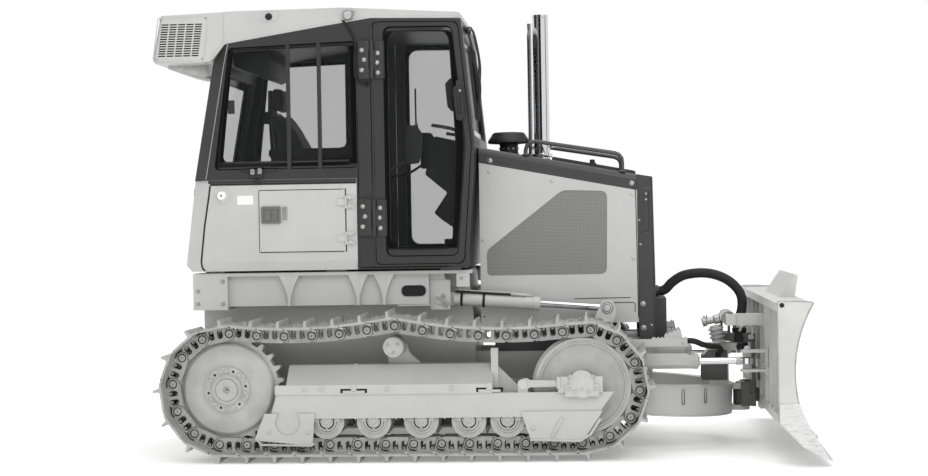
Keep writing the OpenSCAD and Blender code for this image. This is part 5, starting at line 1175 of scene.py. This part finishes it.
# pin boss, keeper and bolts of each lever plate, with dark rings of painted shade in the pin's grooves
boss = [turned("boss", [(0, -12), (17, -12), (20, -9), (20, -1), (30, 0), (33, 3), (33, 8)],
    (1277, ARM_Y - 3, 898), (0, 1, 0), 32), plate("keeper", [rounded([(1236, 840), (1302, 820), (1306, 800),
    (1290, 790), (1222, 812)], 8)], 8, side_view(ARM_Y - 1), 2)]
on_both_sides(joined("lever_bosses", *boss), pale_enamel, "push_frame")
on_both_sides(joined("lever_pin_groove_shade", *[turned("groove", [(r, 0), (r, -along), (r + 2.5, -along),
    (r + 2.5, 0)], (1277, ARM_Y - 2, 898), (0, 1, 0), 32) for r, along in ((21, 3), (33.5, 0.6))]),
    rubber_and_shade_black, "push_frame")
on_both_sides(bolts("lever_bolts", [(1236, ARM_Y - 5, 826), (1290, ARM_Y - 5, 806)], (0, -1, 0), 20),
    zinc_plate, "push_frame")
# second row of teeth above the cover, and the bolts on the cover's face
teeth = [(1624, 704)]
for k in range(4):
    teeth += [(1628 + 25 * k, 722 + 11 * k), (1640 + 25 * k, 742 + 8 * k), (1646 + 25 * k, 728 + 9 * k)]
teeth += [(1730, 760), (1740, 704)]
on_both_sides(joined("cover_teeth", plate("teeth", [teeth], 6, side_view(ARM_Y + 9), 1),
    plate("cover_face", [oblong(1236, 655, 1764, 696, 4)], 4, side_view(ARM_Y - 1.5), 1.5)), pale_enamel,
    "push_frame")
on_both_sides(bolts("cover_bolts", [(x, ARM_Y - 3, 672) for x in (1260, 1500, 1742)], (0, -1, 0), 15),
    zinc_plate, "push_frame")

# tower's cheeks in dark grey as painted shade, and the black sleeves round the kingpin
shade_cheeks = [plate("tower_cheek", [[(1880, 402), (2046, 402), (2046, 596), (1926, 596), (1884, 556)]], 5,
    side_view(way * 72.5), 1.5) for way in (-1, 1)]
settle(joined("tower_cheeks_painted_shade", *shade_cheeks), shade_grey, "push_frame")
sleeves = [turned("sleeve", [(41, 703), (46, 706), (47, 728), (42, 733)], (KINGPIN_X, 0, 0), (0, 0, 1)),
    turned("sleeve", [(50.5, 592), (54, 594), (56, 616), (54, 637), (50.5, 638.5)], (KINGPIN_X, 0, 0),
    (0, 0, 1))]
settle(joined("tower_sleeves", *sleeves), sleeve, "push_frame")
clamp_ring = [turned("clamp", [(40.5, 736), (44, 737), (44, 753), (40.5, 754)], (KINGPIN_X, 0, 0), (0, 0, 1)),
    block("clamp_lug", (2118, -60, 738), (2142, -42, 752), 3), bar("clamp_screw", (2106, -52, 745),
    (2152, -52, 745), 4, 10, 1)]
settle(joined("hose_clamp", *clamp_ring), zinc_plate, "push_frame")

# swivel: cheeks of its lower socket, the sleeve round its head, a ring bracket
# for the hoses, and the finned valve with its machined cap beside the cylinder
# the socket's cheeks in dark grey: painted shade
socket = [plate("socket_cheek", [rounded([(2130, 232), (2222, 232), (2222, 391), (2130, 391)], 10),
    circle(2201, 322, 8, 14)], 12, side_view(way * 78), 3) for way in (-1, 1)]
settle(joined("socket_cheeks_painted_shade", *socket), shade_grey, "blade_swivel")
settle(turned("head_sleeve", [(50.5, 643.5), (54, 647), (56, 670), (54, 696), (50.5, 701)], (KINGPIN_X, 0, 0),
    (0, 0, 1)), sleeve, "blade_swivel")
ring = tube("ring_bracket", [at(2170 + 42 * math.cos(math.radians(g)), -88,
    716 + 42 * math.sin(math.radians(g))) for g in range(-60, 181, 12)], 9, 3)
settle(joined("hose_ring", ring, block("ring_foot", (2180, -96, 664), (2216, -60, 690), 4)), pale_enamel,
    "blade_swivel")
fins = []
for k in range(7):
    fins += [(50 if k % 2 else 38, 4 + 13 * k), (50 if k % 2 else 38, 12 + 13 * k)]
valve = [turned("valve", [(0, 0), (34, 0)] + fins + [(30, 96), (0, 96)], (1986, -100, 662), (-0.18, 0, 1),
    32), block("valve_foot", (1950, -136, 650), (2034, -36, 664), 4)]
settle(joined("valve_body", *valve), cast_steel, "blade_swivel")
cap = turned("valve_cap", [(0, 0), (26, 0), (29, 4), (29, 26), (22, 30), (22, 74), (30, 80), (31, 112),
    (24, 118), (0, 118)], (1886, -100, 776), (1, 0, 0.22), 32)
machined_steel = even("machined_steel", "chrome", "A9A9A8", 80.0, 0.05, Metallic=1.0, Roughness=0.32)
settle(joined("valve_cap", cap, *[bar("cap_stud", (x, -112, 800 + 0.22 * (x - 1890)),
    (x, -112, 818 + 0.22 * (x - 1890)), 5, 8, 1) for x in (1898, 1914)]), machined_steel, "blade_swivel")

# -------------------------------------------------------------- cylinders
# Painted barrels with chromed rods; the tilt barrel is machined and bare. The
# lift barrel carries a sleeved line in two bands, the angle barrel a flat sheet
# that shields it from soil.
dress(pale_enamel, *both("lift_barrel", "angle_barrel"))
dress(machined_steel, "tilt_barrel")
dress(chrome_plate, "tilt_rod", *both("lift_rod", "angle_rod"))


ANGLE_Y, ANGLE_Z = -485, 556        # middle line of the angle cylinders
LINE_Y, LIFT_Y = -521, -500         # sleeved line, and middle line of the lift cylinders
LIFT_RUN = (1042, 0, -77)           # the way in which the lift cylinders point


def lift_z(x):
    """Height of the lift cylinder's middle line."""
    return 975 - (x - 235) * -LIFT_RUN[2] / LIFT_RUN[0]


on_each_side("lift_line_sleeve", "lift_barrel", sleeve, lambda: tube("line",
    smooth_route([(330, LINE_Y, 1014), (380, LINE_Y, 1011), (440, LINE_Y, 1007), (573, LINE_Y, 997),
    (676, LINE_Y, 990)]), 8, 3))
on_each_side("lift_line", "lift_barrel", zinc_plate, lambda: joined("line",
    tube("line", smooth_route([(668, LINE_Y, 991), (730, LINE_Y, 986), (770, -517, 984), (800, -508, 980),
    (812, -503, 972)]), 6, 3), bar("nut", (690, LINE_Y, 989), (712, LINE_Y, 987), 10, 6, 1),
    bar("nut", (742, LINE_Y, 985), (762, -519, 984), 10, 6, 1), bar("port", (812, -500, 940),
    (812, -500, 978), 12, 12, 2)))
on_each_side("lift_bands", "lift_barrel", rubber_and_shade_black, lambda: joined("bands",
    *[turned("band", [(40.3, -8), (44, -7), (44, 7), (40.3, 8)], (x, LIFT_Y, lift_z(x)), LIFT_RUN,
    40) for x in (366, 505)]))
on_each_side("lift_gland", "lift_barrel", pale_enamel, lambda: turned("gland",
    [(23, 6), (36, 5), (38, 0), (44.5, -2), (44.5, -34), (41, -38)], (855, LIFT_Y, lift_z(855)), LIFT_RUN,
    40))
on_each_side("angle_shield", "angle_barrel", pale_enamel, lambda: plate("shield",
    [rounded([(1512, 536), (1512, 610), (1764, 610), (1786, 592), (1786, 536)], 4)], 2.4, side_view(-532.4),
    0.8))
on_each_side("angle_gland", "angle_barrel", cast_steel, lambda: joined("gland",
    turned("gland", [(22, 34), (30, 33), (38, 26), (47, 24), (48, 20), (48, -8), (46, -12)],
    (1812, ANGLE_Y, ANGLE_Z), (1, 0, 0), 40), bar("port", (1800, ANGLE_Y, 600), (1800, ANGLE_Y, 618), 13, 12,
    2), bar("port", (1776, -500, 600), (1776, -500, 612), 9, 12, 2)))
on_each_side("angle_rod_end", "angle_rod", pale_enamel, lambda: turned("rod_end",
    [(21.5, 0), (25, 2), (26, 30), (22, 34)], (2071, ANGLE_Y, ANGLE_Z), (1, 0, 0), 32))
tilt_rings = [turned("ring", [(42.3, -7), (46, -5), (46, 5), (42.3, 7)], (2052, y, 805), (0, 1, 0),
    36) for y in (-128, 116)]
settle(joined("tilt_rings", *tilt_rings), cast_steel, "tilt_barrel")

# bracket of the lift cylinder's pin: a bolted cheek with an oval cap
oval = rounded([(212, 985), (240, 1001), (299, 945), (276, 914), (262, 913)], 20, 6)
bracket = [plate("cheek", [rounded([(172, 902), (296, 902), (300, 1090), (172, 1090)], 10)], 5,
    side_view(-547.5), 1.5), plate("upper_plate", [rounded([(343, 1046), (425, 1046), (425, 1132),
    (343, 1132)], 8)], 10, side_view(-616), 2)]
on_both_sides(joined("lift_brackets", *bracket), pale_enamel)
on_both_sides(plate("lift_bracket_caps", [oval], 8, side_view(-553), 3), track_steel, slot="body_paint")
on_both_sides(bolts("bracket_bolts", [(234, -557, 976), (255, -557, 956), (276, -557, 936),
    (374, -621, 1100)], (0, -1, 0), 15), zinc_plate)

# ------------------------------------------------------------------ blade
# Curved mouldboard between end plates, all welded plate in pale enamel that
# soil has rubbed bright low down, with a bolted edge of ground steel.
blade_enamel = cast("blade_enamel_rubbed", "blade_paint", "B9B9B6", "C6C6C3", 260, 0.5)
ground_steel = cast("ground_steel_edge", "edge_steel", "A9A9A7", "C6C6C4", 80, 0.35, 0.5)
dress(blade_enamel, "blade")
dress(ground_steel, "cutting_edge")
END_Y = -1333.5
# rubbed by soil: bright scratches, in truth a millimetre wide, drawn 5 mm wide
scratched, tree, shader = start_material("enamel_scratched_by_soil", "blade_paint", "C2C2BF", Roughness=0.45,
    Metallic=0.2)
place = add_node(tree, "Mapping", {"Rotation": (0, 0.5, 0), "Scale": (20, 20, 170)},
    {"Vector": add_node(tree, "TexCoord").outputs["Object"]}).outputs["Vector"]
strokes = add_node(tree, "TexNoise", {"Scale": 1.0, "Detail": 4.0}, {"Vector": place})
two_tones(tree, shader, strokes.outputs["Fac"], "9E9E9B", "D2D2D0", 0.27, 0.46)
relief(tree, shader, strokes.outputs["Fac"], 0.15, 0.001)
patch = plate("end_wear_plate", [rounded([(2256, 262), (2258, 369), (2372, 369), (2420, 250), (2540, 46),
    (2532, 42), (2390, 116)], 4)], 5, side_view(END_Y - 1.5), 1.5)
weld_bead = cast("weld_bead_painted", "blade_paint", "8E8E8C", "A8A8A6", 40, 0.5)
BOARD_X, BOARD_Z, BOARD_R = 3150, 543, 805      # middle and radius of the curved board
board_edge = [(BOARD_X - BOARD_R * math.cos(math.asin((z - BOARD_Z) / BOARD_R)) + 4, z) for z in range(215,
    951, 35)]
edge_bead = tube("board_edge", [at(x, END_Y + 2, z) for x, z in board_edge], 5, 2)
back_bead = tube("end_edge", [at(2252, END_Y + 1, z) for z in (262, 500, 750, 955)], 4, 2)
top_bead = tube("top_edge", [at(2254, END_Y + 1, 961), at(2360, END_Y + 1, 960), at(2452, END_Y + 1, 955)], 4,
    2)
on_both_sides(patch, scratched, "blade")
on_both_sides(joined("blade_end_edges", edge_bead, back_bead, top_bead), weld_bead, "blade")
# dark cups in the lifting eyes' holes: painted shade of the space behind them
on_both_sides(turned("lifting_eye_hole_shade", [(0, -1.5), (12, -1.5), (13.9, 0), (13.9, 8), (0, 8)],
    (2278, END_Y, 938), (0, 1, 0), 24), rubber_and_shade_black, "blade")
on_both_sides(turned("lifting_eye_rims", [(14, 4), (15, -3), (21, -3), (23, 0)], (2278, END_Y, 938),
    (0, 1, 0), 28), blade_enamel, "blade")
lean = math.atan2(2550 - 2415, 214 - 40)
normal = (math.cos(lean), 0, math.sin(lean))
places = [(2250 + 182 + 60 * math.sin(lean), y, 214 - 60 * math.cos(lean)) for y in range(-1240, 1241, 155)]
settle(bolts("edge_bolts", places, normal, 30, True), ground_steel, "blade")
lug_caps = [turned("lug_cap", [(0, 14), (12, 14), (18, 10), (22, 0)], (2143, way * 485, 634), (0, 0, 1),
    24) for way in (-1, 1)]
lug_caps += [bar("lug_pin", (2143, way * 485, 478), (2143, way * 485, 498), 17, 20, 2) for way in (-1, 1)]
settle(joined("lug_caps", *lug_caps), cast_steel, "blade", slot="edge_steel")
